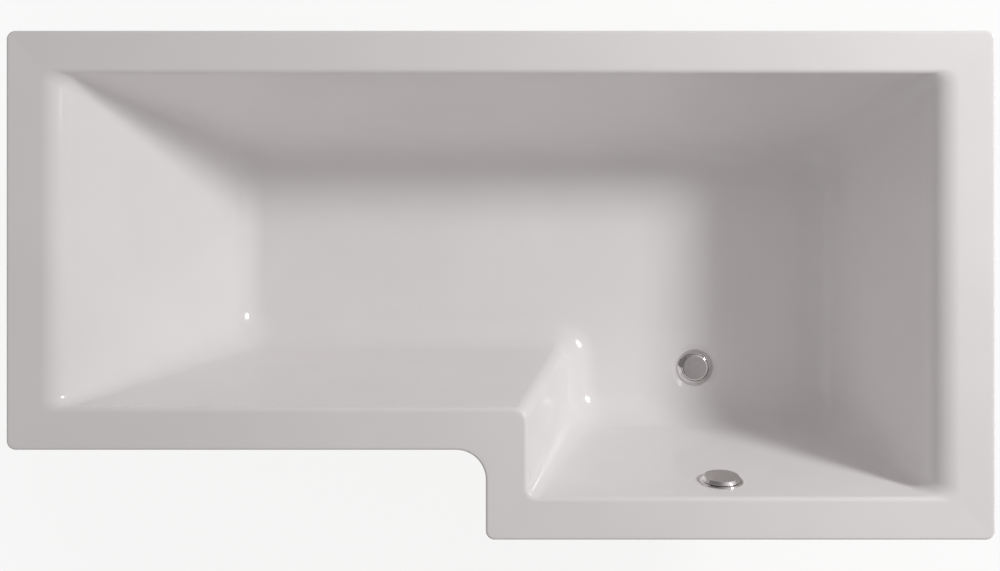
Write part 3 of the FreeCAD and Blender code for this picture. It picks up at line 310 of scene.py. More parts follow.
def raw_chipboard():
    # Flax and pine chips pressed with resin: straw to brown flecks of 2 to 6 mm, dull, slightly rough.
    material, tree, shader, place = start_material("raw_chipboard", Roughness=0.85)
    fines = cloud(tree, place, 2, 4.0)
    mixed = maths(tree, "MULTIPLY_ADD", cells(tree, place, 5)["Red"], fines, fines)
    paint(tree, shader, mixed, (0.3, "#7C5B36"), (0.6, "#B08A58"), (0.95, "#D6BB8B"))
    relief(tree, shader, mixed, 0.4, 0.3)
    return material


def sawn_spruce(name, stretch):
    # Rough-sawn spruce: pale yellow with darker late wood every 5 mm along the length, and saw marks.
    material, tree, shader, place = start_material(name, Roughness=0.8)
    lay = add(tree, "ShaderNodeMapping", {"Vector": place, "Scale": stretch}).outputs["Vector"]
    grain = add(tree, "ShaderNodeTexWave", {
        "Vector": lay, "Scale": cell_scale(8), "Distortion": 4.0, "Detail": 2.0,
        "Phase Offset": cloud(tree, lay, 40, 2.0)}, bands_direction="DIAGONAL")
    paint(tree, shader, grain.outputs["Fac"], (0.0, "#E0C08C"), (0.6, "#D2AC74"), (1.0, "#A97C48"))
    relief(tree, shader, cloud(tree, place, 3, 3.0), 0.5, 0.3)
    return material


def galvanised_steel():
    # Hot-dip zinc on folded steel: crystal spangles of about 9 mm, each with its own grey and gloss.
    material, tree, shader, place = start_material("galvanised_steel", Metallic=1.0)
    spangle = cells(tree, place, 9)
    paint(tree, shader, spangle["Red"], (0.0, "#A3A8AB"), (1.0, "#CDD0D1"))
    gloss(tree, shader, spangle["Green"], 0.28, 0.5)
    return material


def chrome_plate():
    # Polished chromium plate on brass: a near mirror, with a faint film of limescale that softens it.
    colour = tuple(bpy.context.scene.bath_fittings.chrome)
    stops = (0.4, colour), (0.7, shaded(colour, 0.94))
    return clouded("chrome_plate", 12, 3.0, stops, 0.07, 0.12, Metallic=1.0)


def worn_metal(name, millimetres, dark, light, low, high):
    # Turned metal, bare or bright zinc plated: cloudy wear between two close tones, dulled in patches.
    return clouded(name, millimetres, 4.0, ((0.3, dark), (0.7, light)), low, high, Metallic=1.0)


def moulded(name, dark, light, roughness, grit, depth):
    # Moulded plastic or rubber: even colour with a slight cloud, and the fine grit of the mould.
    stops = (0.3, dark), (0.7, light)
    return clouded(name, 25, 3.0, stops, roughness - 0.05, roughness + 0.05, (grit, depth), IOR=1.5)


def moulded_polypropylene():
    colour = tuple(bpy.context.scene.bath_fittings.plastic)
    return moulded("moulded_polypropylene", shaded(colour, 0.95), colour, 0.42, 1.5, 0.05)


FINISHES = {
    "acrylic": formed_acrylic,
    "glass_fibre": sprayed_glass_fibre,
    "chipboard": raw_chipboard,
    "spruce_along_x": lambda: sawn_spruce("sawn_spruce_long", (0.04, 1, 1)),
    "spruce_along_y": lambda: sawn_spruce("sawn_spruce_cross", (1, 0.04, 1)),
    "galvanised_steel": galvanised_steel,
    "zinc_plated_steel": lambda: worn_metal("zinc_plate", 14, "#B4B8BC", "#D3D5D6", 0.42, 0.22),
    "chrome": chrome_plate,
    "polypropylene": moulded_polypropylene,
    "stainless_steel": lambda: worn_metal("turned_stainless_steel", 6, "#A9A8A7", "#C9C8C6", 0.22, 0.34),
    "brass": lambda: worn_metal("turned_brass", 6, "#A98A4A", "#CDAE68", 0.24, 0.36),
    "rubber": lambda: moulded("moulded_rubber", "#171717", "#242322", 0.6, 0.8, 0.08),
    "nylon": lambda: moulded("glass_filled_nylon", "#1B1B1C", "#29292A", 0.5, 1.2, 0.10),
    "hose_plastic": lambda: moulded("extruded_polythene", "#CFCFCB", "#DDDDD8", 0.38, 2.0, 0.05),
    "cable_sheath": lambda: moulded("extruded_cable_sheath", "#202122", "#2C2D2E", 0.45, 1.0, 0.04),
}
_made = {}


def finish(name):
    """The material of that name, made once."""
    if name not in _made:
        _made[name] = FINISHES[name]()
    return _made[name]


# Meshes

def turns_of(count, start=0.0):
    """Angles of equal steps round a circle."""
    return [2 * math.pi * (step + start) / count for step in range(count)]


def rounded(corners, steps=5):
    """Outline through (radius, height, rounding) corners, each rounded by its own radius."""
    points = [Vector(corner[:2]) for corner in corners]
    out = []
    for index, (x, y, radius) in enumerate(corners):
        corner = points[index]
        before = points[index - 1] - corner
        after = points[(index + 1) % len(points)] - corner
        if not radius:
            out.append((x, y))
            continue
        half = before.angle(after) / 2
        room = MOST_OF_SIDE * min(before.length, after.length)
        back = min(radius / math.tan(half), room)
        start, end = corner + before.normalized() * back, corner + after.normalized() * back
        inwards = (before.normalized() + after.normalized()).normalized()
        centre = corner + inwards * back / math.cos(half)
        first, last = start - centre, end - centre
        sweep = first.angle_signed(last)
        for step in range(steps + 1):
            turn = Matrix.Rotation(-sweep * step / steps, 2)
            out.append(tuple(centre + turn @ first))
    return out


def new_object(name, mesh):
    made = bpy.data.objects.new(name, mesh)
    bpy.context.scene.collection.objects.link(made)
    return made


def plain_object(name, shape):
    """Object from a shape as it is."""
    mesh = bpy.data.meshes.new(name)
    shape.to_mesh(mesh)
    shape.free()
    return new_object(name, mesh)


def from_bmesh(name, shape, sharp=SHARP):
    """Object from a closed shape: faces outwards, smooth except where it turns sharply."""
    bmesh.ops.remove_doubles(shape, verts=shape.verts, dist=WELD)
    bmesh.ops.recalc_face_normals(shape, faces=shape.faces)
    made = plain_object(name, shape)
    soften(made.data, sharp)
    return made


def soften(mesh, sharp):
    mesh.shade_smooth()
    mesh.set_sharp_from_angle(angle=math.radians(sharp))


def settle(piece):
    """Turn a piece's modifiers into plain mesh."""
    graph = bpy.context.evaluated_depsgraph_get()
    mesh = bpy.data.meshes.new_from_object(piece.evaluated_get(graph), depsgraph=graph)
    piece.modifiers.clear()
    old = piece.data
    piece.data = mesh
    bpy.data.meshes.remove(old)
    mesh.name = piece.name


def discard(*pieces):
    for piece in pieces:
        mesh = piece.data
        bpy.data.objects.remove(piece)
        bpy.data.meshes.remove(mesh)


def cut_away(piece, tool, **settings):
    """Cut a tool's shape out of a piece."""
    cut = piece.modifiers.new("cut", "BOOLEAN")
    cut.operation = "DIFFERENCE"
    cut.object = tool
    for field, value in settings.items():
        setattr(cut, field, value)
    settle(piece)
    discard(tool)


def hand_over(piece, body, material, node):
    """Give a finished piece its material and its body, and hide the solid that it stands for."""
    piece.data.materials.clear()
    piece.data.materials.append(finish(material))
    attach(piece, body)
    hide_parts(node)


def repaint(material, *nodes):
    """Better material on solids that stay as they are."""
    for node in nodes:
        for place in frame["nodes"][node].material_slots:
            place.material = finish(material)


def bridge(shape, first, second):
    """Band of faces between two closed rows of points."""
    count = len(first)
    for index in range(count):
        following = (index + 1) % count
        shape.faces.new((first[index], first[following], second[following], second[index]))


def add_rows(shape, rows):
    """Points of each row, joined row to row."""
    made = [[shape.verts.new(point) for point in row] for row in rows]
    for first, second in zip(made, made[1:]):
        bridge(shape, first, second)
    return made


def circle(radius, z, count, middle=(0.0, 0.0)):
    return [(middle[0] + radius * math.cos(turn), middle[1] + radius * math.sin(turn), z)
            for turn in turns_of(count)]


def lathe(name, corners, place=None, count=96, steps=5):
    """Closed turning about Z of an outline of (radius, height, rounding) in millimetres."""
    shape = bmesh.new()
    columns = []
    for radius, z in rounded([tuple(value * MM for value in corner) for corner in corners], steps):
        if radius < 1e-9:
            columns.append([shape.verts.new((0, 0, z))] * count)
        else:
            columns.append([shape.verts.new(point) for point in circle(radius, z, count)])
    for index, first in enumerate(columns):
        second = columns[(index + 1) % len(columns)]
        for step in range(count):
            following = (step + 1) % count
            loop = []
            for vert in (first[step], first[following], second[following], second[step]):
                if vert not in loop:
                    loop.append(vert)
            if len(loop) > 2:
                shape.faces.new(loop)
    if place:
        shape.transform(place)
    return from_bmesh(name, shape)


def block(name, corner_of):
    """Eight-cornered block. Each corner's place comes from its place in a unit cube about the origin."""
    shape = bmesh.new()
    bmesh.ops.create_cube(shape, size=1.0)
    for vert in shape.verts:
        vert.co = corner_of(vert.co)
    return from_bmesh(name, shape)


def dressed_copy(name, node, edge=0.0, sharp=SHARP, long_edges=None):
    """Copy of a solid with its triangles merged and its edges eased, or only its long edges."""
    flat_within, ease_over = math.radians(0.5), math.radians(50)
    shape = bmesh.new()
    shape.from_mesh(frame["nodes"][node].data)
    bmesh.ops.remove_doubles(shape, verts=shape.verts, dist=2 * WELD)
    bmesh.ops.dissolve_limit(shape, angle_limit=flat_within, verts=shape.verts, edges=shape.edges)
    piece = plain_object(name, shape)
    mesh = piece.data
    mesh.materials.clear()
    if edge:
        ease = piece.modifiers.new("ease", "BEVEL")
        ease.width = edge
        ease.segments = 3
        ease.limit_method = "ANGLE"
        ease.angle_limit = ease_over
        if long_edges:
            ease.limit_method = "WEIGHT"
            weights = mesh.attributes.new("bevel_weight_edge", "FLOAT", "EDGE")
            for line in mesh.edges:
                first, second = (mesh.vertices[end].co for end in line.vertices)
                weights.data[line.index].value = float((first - second).length > long_edges)
        settle(piece)
    soften(piece.data, sharp)
    return piece


def dress(name, node, material, slot=None, **how):
    """Dressed copy in place of a solid that is fixed to the bath."""
    hand_over(dressed_copy(name, node, **how), "bath", material, node)


# The well's surface: level outlines, pushed out by an offset

SIDE_STEPS = 14
CORNER_STEPS = 16
NOTCH = 1  # the one corner of the outline that turns the other way
ROUND_STEPS = 128
FLOOR_GAP = 0.0008  # flat of the floor to the foot of the walls
LEAST_NOSE = 0.002
MITRE = 0.004  # corners half way across the rim
RIM_SHARES = (0.06, 0.2, 0.4, 0.6, 0.8, 0.94)
UNDER_SHARES = (0.1, 0.5, 0.9)
LIP_EASE = 0.0006
COVE = 0.003  # inside corner under the rim


def blend(first, second, share):
    return tuple(a + (b - a) * share for a, b in zip(first, second))


def outline(lines, radii, z):
    """Closed row of points round an L with rounded corners."""
    head, tap, notch, back, front, narrow = lines
    corners = [Vector(corner) for corner in (
        (head, narrow), (notch, narrow), (notch, front), (tap, front), (tap, back), (head, back))]
    quarter = [math.pi / 2 * step / CORNER_STEPS for step in range(CORNER_STEPS + 1)]
    arcs = []
    for index, (corner, radius) in enumerate(zip(corners, radii)):
        before = (corners[index - 1] - corner).normalized()
        after = (corners[(index + 1) % len(corners)] - corner).normalized()
        centre = corner + (before + after) * radius
        arcs.append([
            centre - (after * math.cos(turn) + before * math.sin(turn)) * radius for turn in quarter])
    row = []
    for index, arc in enumerate(arcs):
        row += arc
        following = arcs[(index + 1) % len(arcs)][0]
        row += [arc[-1].lerp(following, step / SIDE_STEPS) for step in range(1, SIDE_STEPS)]
    return [(point.x, point.y, z) for point in row]


def rim_lines(sizes, inset):
    """Where the six sides run, moved in from the outer edge of the rim."""
    return (
        -sizes.length / 2 + inset, sizes.length / 2 - inset,
        sizes.length / 2 - sizes.shower_length + inset, sizes.width / 2 - inset,
        -sizes.width / 2 + inset, sizes.width / 2 - sizes.narrow_width + inset)


def rim_radii(corner, notch):
    return (corner, notch, corner, corner, corner, corner)


def rim_row(sizes, inset, z):
    """Lines, radii and height of a row round the rim's edge."""
    return (rim_lines(sizes, inset),
            rim_radii(sizes.plan_corner - inset, sizes.notch_round + inset), z)


def wall_inset(sizes, depth, offset, run, roll):
    """How far inside the sharp rim edge a wall lies at a depth, and how much of that its foot adds."""
    drop = sizes.rim_height - sizes.floor_rise
    lean = math.atan(run / drop)
    growth = offset * (1 - math.sin(lean)) / math.cos(lean)
    foot = sizes.floor_round + offset
    height = drop - depth
    turned = (math.pi / 2 - lean) / 2
    straight = depth * math.tan(lean)
    if height < foot * (1 - math.sin(lean)):
        inset = run + foot * math.tan(turned) - math.sqrt(foot ** 2 - (foot - height) ** 2)
        return inset - growth, inset - straight
    radius = roll - offset
    reach = radius * math.tan(turned)
    if depth < reach * math.cos(lean):
        straight = math.sqrt(max(radius ** 2 - (radius - depth) ** 2, 0)) - reach
    return straight - growth, 0.0


def well_lines(sizes, depth, offset):
    """Sides and corner radii of the well's level outline at a depth."""
    side, side_foot = wall_inset(sizes, depth, offset, sizes.wall_run, sizes.side_roll)
    head, head_foot = wall_inset(sizes, depth, offset, sizes.head_run, sizes.end_roll)
    tap, tap_foot = wall_inset(sizes, depth, offset, sizes.wall_run, sizes.end_roll)
    share = depth / (sizes.rim_height - sizes.floor_rise)
    corner = sizes.corner_top + share * (sizes.corner_floor - sizes.corner_top) + offset
    nose = sizes.nose_top + share * (sizes.nose_floor - sizes.nose_top) - offset + side_foot
    outer = rim_lines(sizes, 0.0)
    lines = (
        outer[0] + sizes.rim_head + head, outer[1] - sizes.rim_tap - tap,
        outer[2] + sizes.rim_side + side, outer[3] - sizes.rim_side - side,
        outer[4] + sizes.rim_side + side, outer[5] + sizes.rim_side + side)
    at_head = corner - (head_foot + side_foot) / 2
    at_tap = corner - (tap_foot + side_foot) / 2
    return lines, (at_head, max(nose, LEAST_NOSE), corner - side_foot, at_tap, at_tap, at_head)


def well_depths(sizes, offset):
    """Depths of the outlines, close together where the surface curves."""
    drop = sizes.rim_height - sizes.floor_rise
    turned = math.pi / 2 - math.atan(sizes.wall_run / drop)
    foot = sizes.floor_round + offset
    side_steps, end_steps, wall_steps, foot_steps, least = 10, 24, 12, 18, 0.0004

    def bend(radius, steps):
        return [radius * (1 - math.cos(turned * step / steps)) for step in range(steps + 1)]

    depths = bend(sizes.side_roll - offset, side_steps)
    ends = bend(sizes.end_roll - offset, end_steps)
    depths += [depth for depth in ends if depth > depths[-1] + least]
    rises = bend(foot, foot_steps)
    last, foot_top = depths[-1], drop - rises.pop()
    depths += [last + (foot_top - last) * step / wall_steps for step in range(1, wall_steps + 1)]
    return depths + [drop - rise for rise in reversed(rises)]


def flat_floor(sizes, inset):
    """Outline on the flat of the floor, just inside the foot of the walls."""
    lines, radii = well_lines(sizes, sizes.rim_height - sizes.floor_rise, 0.0)
    head, tap, notch, back, front, narrow = lines
    moved = (head + inset, tap - inset, notch + inset, back - inset, front + inset, narrow + inset)
    return moved, tuple(
        radius + inset if index == NOTCH else radius - inset for index, radius in enumerate(radii))


def fill_flat(shape, outer, inner):
    """Flat faces between an outline and the round opening in it."""
    verts = [*outer, *inner]
    count, total = len(outer), len(verts)
    edges = [(index - 1 if index else count - 1, index) for index in range(count)]
    edges += [(index - 1 if index > count else total - 1, index) for index in range(count, total)]
    opening = (inner[0].co.xy + inner[1].co.xy) / 2 - WASTE_PLACE
    faces, kept = delaunay_2d_cdt([vert.co.xy for vert in verts], edges, [], 1, 1e-7)[2:4]
    for face in faces:
        corners = [verts[kept[index][0]] for index in face]
        middle = sum((corner.co.xy for corner in corners), Vector((0, 0))) / 3
        if (middle - WASTE_PLACE).length > opening.length:
            shape.faces.new(corners)


def cut_overflow_hole(piece, sizes, sharp):
    """Round hole through the front wall, square to it."""
    reach = 4 * (sizes.sheet + sizes.backing) / MM
    radius = sizes.overflow_hole / 2 / MM
    drill = lathe("drill", [
        (0, -reach, 0), (radius, -reach, 0), (radius, reach, 0), (0, reach, 0)], wall_place())
    cut_away(piece, drill, solver="EXACT")
    soften(piece.data, sharp)


def wall_place():
    """Place of the overflow: its own Z points out of the wall into the well, its own Y up the wall."""
    across = Vector((1, 0, 0))
    up = OVERFLOW_OUT.cross(across)
    turned = Matrix((across, up, OVERFLOW_OUT)).transposed()
    return Matrix.Translation(OVERFLOW_PLACE) @ turned.to_4x4()


def waste_place():
    """Place of the waste: heights are measured from the recess in the floor."""
    sizes = bpy.context.scene.bath_shell
    return Matrix.Translation((*WASTE_PLACE, sizes.floor_rise - sizes.recess_depth))


def shell_rows(sizes):
    """Rows of points round the sheet, from the floor up and over the rim, and back under it."""
    rim = sizes.rim_height
    drop = rim - sizes.floor_rise
    rows = [(*flat_floor(sizes, FLOOR_GAP), sizes.floor_rise)]
    for depth in reversed(well_depths(sizes, 0.0)):
        rows.append((*well_lines(sizes, depth, 0.0), rim - sizes.rim_fall * (1 - depth / drop) - depth))
    inner_lines, inner_radii, inner_z = rows[-1]
    outer_lines, outer_radii = rim_row(sizes, sizes.lip_edge, rim)[:2]
    for share in RIM_SHARES:
        tight = min(share, 1 - share) * 2
        radii = tuple(
            radius if index == NOTCH else radius + (MITRE - radius) * min(1.0, 2 * tight)
            for index, radius in enumerate(blend(inner_radii, outer_radii, share)))
        rows.append((blend(inner_lines, outer_lines, share), radii, inner_z + (rim - inner_z) * share))
    edge_steps, cove_steps = 8, 5
    for step in range(edge_steps + 1):
        turn = math.pi / 2 * (1 - step / edge_steps)
        inset = sizes.lip_edge * (1 - math.cos(turn))
        rows.append(rim_row(sizes, inset, rim - sizes.lip_edge * (1 - math.sin(turn))))
    foot, ease = rim - sizes.lip, LIP_EASE
    for inset, z in ((0.0, foot + 4 * ease), (0.0, foot + ease), (ease, foot), (sizes.sheet - ease, foot),
                     (sizes.sheet, foot + ease), (sizes.sheet, foot + 4 * ease)):
        rows.append(rim_row(sizes, inset, z))

    under = rim - sizes.sheet
    for step in range(cove_steps + 1):
        turn = math.pi / 2 * step / cove_steps
        inset = sizes.sheet + COVE * (1 - math.cos(turn))
        radii = rim_radii(sizes.plan_corner - sizes.sheet, sizes.notch_round + inset)
        rows.append((rim_lines(sizes, inset), radii, under - COVE * (1 - math.sin(turn))))
    from_lines, from_radii = rows[-1][:2]
    to_lines, to_radii = well_lines(sizes, 0.0, sizes.sheet)
    for share in UNDER_SHARES:
        rows.append((blend(from_lines, to_lines, share), blend(from_radii, to_radii, share), under))
    for depth in well_depths(sizes, sizes.sheet):
        rows.append((*well_lines(sizes, depth, sizes.sheet), under - depth))
    return [outline(*row) for row in rows]


class BATH_OT_shell(Operator):
    """Formed acrylic sheet: rim, lip, well, backrest and waste recess"""
    bl_idname = "bath.shell"
    bl_label = "Acrylic shell"

    def execute(self, context):
        sizes = context.scene.bath_shell
        shape = bmesh.new()
        rows = add_rows(shape, shell_rows(sizes))
        top, edge = sizes.floor_rise / MM, sizes.recess / 2 / MM
        deep, thick = sizes.recess_depth / MM, sizes.sheet / MM
        hole = sizes.waste_hole / 2 / MM
        slant = thick * math.tan(math.pi / 8)
        run, brow, foot = 2.1 * deep, 8, 10  # the recess's slope, and its roundings above and below
        dip = rounded([
            (edge + 2.2, top, 0), (edge, top, brow), (edge - run, top - deep, foot),
            (hole, top - deep, 0.6), (hole, top - deep - thick, 0.3),
            (edge - deep + slant, top - deep - thick, 3), (edge + slant, top - thick, 1.5),
            (edge + slant + 0.8, top - thick, 0)], 6)
        turned = add_rows(shape, [
            circle(radius * MM, z * MM, ROUND_STEPS, WASTE_PLACE) for radius, z in dip])
        fill_flat(shape, rows[0], turned[0])
        fill_flat(shape, rows[-1], turned[-1])
        piece = from_bmesh("acrylic_shell", shape)
        cut_overflow_hole(piece, sizes, SHARP)
        hand_over(piece, "bath", "acrylic", "bath_shell")
        return {"FINISHED"}


class BATH_OT_backing(Operator):
    """Sprayed glass fibre behind the sheet, lumpy on its outside"""
    bl_idname = "bath.backing"
    bl_label = "Glass fibre"

    seam = 0.00005  # to the sheet
    apart = 0.002  # least distance between the edge's row and the next
    first_drop = 0.001  # edge to the first row on the outside
    spacing = 0.010  # rows on the lumpy outside
    waste_clear = 0.04907  # radius of the opening round the waste
    sharp = 60.0

    def execute(self, context):
        sizes = context.scene.bath_shell
        rim = sizes.rim_height
        wall, skin = sizes.sheet + sizes.backing, sizes.sheet + self.seam
        edge = rim - sizes.backing_drop

        def row(depth, offset):
            return outline(*well_lines(sizes, depth, offset), rim - offset - depth)

        inside = [depth for depth in well_depths(sizes, skin) if rim - skin - depth < edge - self.apart]
        rows = [row(depth, skin) for depth in reversed(inside)]
        rows += [row(rim - offset - edge, offset) for offset in (skin, wall)]
        first_outside = len(rows) - 1
        outside = [rim - wall - edge + self.first_drop]
        outside += [depth for depth in well_depths(sizes, wall) if depth > outside[0] + self.apart]
        fine = [outside[0]]
        for depth in outside[1:]:
            start = fine[-1]
            parts = max(1, round((depth - start) / self.spacing))
            fine += [start + (depth - start) * (part + 1) / parts for part in range(parts)]
        rows += [row(depth, wall) for depth in fine]
        shape = bmesh.new()
        made = add_rows(shape, rows)
        hole = add_rows(shape, [
            circle(self.waste_clear, sizes.floor_rise - deep, ROUND_STEPS, WASTE_PLACE)
            for deep in (skin, wall)])
        fill_flat(shape, made[0], hole[0])
        fill_flat(shape, made[-1], hole[-1])
        self.roughen(shape, made[first_outside + 1:-1])
        piece = from_bmesh("glass_fibre_layer", shape, self.sharp)
        cut_overflow_hole(piece, sizes, self.sharp)
        hand_over(piece, "bath", "glass_fibre", "glass_fibre_backing")
        return {"FINISHED"}

    def roughen(self, shape, rows):
        """Lumps of two sizes, sunk so that they stay within the layer."""
        sink, coarse, small = -0.0005, 0.0005, 0.0003
        bmesh.ops.recalc_face_normals(shape, faces=shape.faces)
        shape.normal_update()
        lumps = {}
        for vert in (vert for row in rows for vert in row):
            lumps[vert] = vert.normal * (
                sink + coarse * noise.noise(vert.co * cell_scale(55))
                + small * noise.noise(vert.co * cell_scale(18)))
        for vert, move in lumps.items():
            vert.co += move


class BATH_OT_timber(Operator):
    """Timber battens under the rim and the board under the floor"""
    bl_idname = "bath.timber"
    bl_label = "Timber"

    def execute(self, context):
        for side in ("back", "head", "tap", "narrow", "notch", "shower"):
            node = f"rim_batten_{side}"
            low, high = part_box(node)
            along = "spruce_along_x" if high.x - low.x > high.y - low.y else "spruce_along_y"
            dress(f"batten_{side}", node, along, "softwood", edge=0.0015)
        dress("floor_board", "base_board", "chipboard", edge=0.0008)
        return {"FINISHED"}


class BATH_OT_rails(Operator):
    """Folded steel rails across the board"""
    bl_idname = "bath.rails"
    bl_label = "Rails"

    def execute(self, context):
        for rail in ("head", "middle", "tap"):
            node = f"rail_{rail}"
            dress(f"cross_{node}", node, "galvanised_steel", edge=0.0012, sharp=50.0, long_edges=0.2)
        return {"FINISHED"}


# Geometry node trees

def start_tree(name, **inputs):
    """New tree with its inputs and output, and where each input is set on a modifier."""
    tree = bpy.data.node_groups.new(name, "GeometryNodeTree")
    places = {}
    for title, kind in {"Geometry": "Geometry", **inputs, "Material": "Material"}.items():
        places[title] = tree.interface.new_socket(
            name=title, in_out="INPUT", socket_type=f"NodeSocket{kind}").identifier
    tree.interface.new_socket(name="Geometry", in_out="OUTPUT", socket_type="NodeSocketGeometry")
    return tree, tree.nodes.new("NodeGroupInput").outputs, places


def end_tree(tree, geometry, material):
    """Close a tree: real mesh, one material."""
    real = add(tree, "GeometryNodeRealizeInstances", {"Geometry": geometry})
    painted = add(tree, "GeometryNodeSetMaterial", {
        "Geometry": real.outputs["Geometry"], "Material": material})
    add(tree, "NodeGroupOutput", {"Geometry": painted.outputs["Geometry"]})


def grow(name, points, sharp, tree, places, **values):
    """Run a tree on points and keep the result as plain mesh."""
    mesh = bpy.data.meshes.new(name)
    mesh.from_pydata([tuple(point) for point in points], [], [])
    piece = new_object(name, mesh)
    modifier = piece.modifiers.new("tree", "NODES")
    modifier.node_group = tree
    for title, value in values.items():
        modifier[places[title]] = value
    settle(piece)
    soften(piece.data, sharp)
    return piece


def repeat_tree():
    """Sets a piece down on each point, turned to face outwards from the middle, then by a seeded angle."""
    tree, given, places = start_tree(
        "set_down", Piece="Object", Outwards="Float", Turn="Float", Seed="Int", Middle="Vector")
    chosen = add(tree, "GeometryNodeObjectInfo", {"Object": given["Piece"]}, transform_space="ORIGINAL")
    here = tree.nodes.new("GeometryNodeInputPosition").outputs["Position"]
    away = add(tree, "ShaderNodeVectorMath", {0: here, 1: given["Middle"]}, operation="SUBTRACT")
    split = add(tree, "ShaderNodeSeparateXYZ", {"Vector": away.outputs["Vector"]}).outputs
    facing = maths(tree, "ARCTAN2", split["Y"], split["X"])
    chance = add(tree, "FunctionNodeRandomValue", {"Seed": given["Seed"], 3: given["Turn"]},
                 data_type="FLOAT")
    whole = maths(tree, "ADD", maths(tree, "MULTIPLY", facing, given["Outwards"]), chance.outputs[1])
    euler = add(tree, "ShaderNodeCombineXYZ", {"Z": whole})
    copies = add(tree, "GeometryNodeInstanceOnPoints", {
        "Points": given["Geometry"], "Instance": chosen.outputs["Geometry"],
        "Rotation": euler.outputs[0]})
    end_tree(tree, copies.outputs["Instances"], given["Material"])
    return tree, places


def set_down(name, spots, piece, material, sharp, outwards=0.0, turn=0.0, seed=0, middle=Vector()):
    """Copies of a piece, one on each spot."""
    if "set_down" not in _made:
        _made["set_down"] = repeat_tree()
    return grow(name, spots, sharp, *_made["set_down"], Piece=piece, Outwards=outwards, Turn=turn,
                Seed=seed, Middle=middle, Material=finish(material))


def leg_tree():
    """Threaded rod: a core with a ridge wound round it."""
    tree, given, places = start_tree(
        "threaded_leg", Radius="Float", Height="Float", Pitch="Float", Depth="Float", Foot="Vector")

    def moved(geometry, **place):
        shift = add(tree, "ShaderNodeCombineXYZ", place).outputs[0]
        return add(tree, "GeometryNodeTransform", {"Geometry": geometry, "Translation": shift})

    half = maths(tree, "MULTIPLY", given["Depth"], 0.5)
    core = maths(tree, "SUBTRACT", given["Radius"], half)
    wound = maths(tree, "SUBTRACT", given["Height"], given["Depth"])
    helix = add(tree, "GeometryNodeCurveSpiral", {
        "Resolution": 24, "Rotations": maths(tree, "DIVIDE", wound, given["Pitch"]),
        "Start Radius": core, "End Radius": core, "Height": wound})
    ridge = add(tree, "GeometryNodeCurvePrimitiveCircle", {"Resolution": 4, "Radius": half})
    thread = add(tree, "GeometryNodeCurveToMesh", {
        "Curve": helix.outputs["Curve"], "Profile Curve": ridge.outputs["Curve"], "Fill Caps": True})
    bar = add(tree, "GeometryNodeMeshCylinder", {
        "Vertices": 40, "Radius": core, "Depth": given["Height"]})
    both = add(tree, "GeometryNodeJoinGeometry")
    stood = moved(bar.outputs["Mesh"], Z=maths(tree, "MULTIPLY", given["Height"], 0.5))
    for part in (stood, moved(thread.outputs["Mesh"], Z=half)):
        tree.links.new(part.outputs["Geometry"], both.inputs["Geometry"])
    placed = add(tree, "GeometryNodeTransform", {
        "Geometry": both.outputs["Geometry"], "Translation": given["Foot"]})
    end_tree(tree, placed.outputs["Geometry"], given["Material"])
    return tree, places


def joined(name, *pieces):
    """One piece from several."""
    shape = bmesh.new()
    for piece in pieces:
        shape.from_mesh(piece.data)
    discard(*pieces)
    return plain_object(name, shape)


class BATH_OT_legs(Operator):
    """Threaded legs and ribbed feet"""
    bl_idname = "bath.legs"
    bl_label = "Legs"

    inside = 0.0001  # thread's tips inside the solid rod
    aim = 0.001  # ribs' points from the middle, only to give them a direction

    def execute(self, context):
        fittings = context.scene.bath_fittings
        threaded = leg_tree()
        rib = self.rib()
        for body in LEGS:
            name = body.removeprefix("leg_")
            low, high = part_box(f"leg_rod_{name}")
            foot = Vector(((low.x + high.x) / 2, (low.y + high.y) / 2, low.z))
            rod = grow(f"leg_{name}", [], 30.0, *threaded, Radius=(high.x - low.x) / 2 - self.inside,
                       Height=high.z - low.z, Pitch=fittings.thread_pitch, Depth=fittings.thread_depth,
                       Foot=foot, Material=finish("zinc_plated_steel"))
            hand_over(rod, body, "zinc_plated_steel", f"leg_rod_{name}")

            node = f"leg_foot_{name}"
            middle = Vector((foot.x, foot.y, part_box(node)[0].z))
            spots = [middle + Vector((math.cos(turn), math.sin(turn), 0)) * self.aim
                     for turn in turns_of(fittings.foot_ribs, 0.5)]
            webs = set_down(f"webs_{name}", spots, rib, "nylon", SHARP, outwards=1.0, middle=middle)
            pad = dressed_copy(f"pad_{name}", node, edge=0.0008)
            hand_over(joined(f"foot_{name}", pad, webs), body, "nylon", node)
        discard(rib)
        return {"FINISHED"}

    def rib(self):
        """Upright web from the foot's boss to the edge of its plate."""
        half, plate, boss, top, edge = 0.0011, 0.0055, 0.0110, 0.0190, 0.0220
        side = [(boss, plate), (edge, plate), (edge, plate + 0.0015), (boss + 0.0025, top), (boss, top)]
        shape = bmesh.new()
        near, far = ([shape.verts.new((x, y, z)) for x, z in side] for y in (-half, half))
        bridge(shape, near, far)
        shape.faces.new(near)
        shape.faces.new(far)
        return from_bmesh("rib", shape)


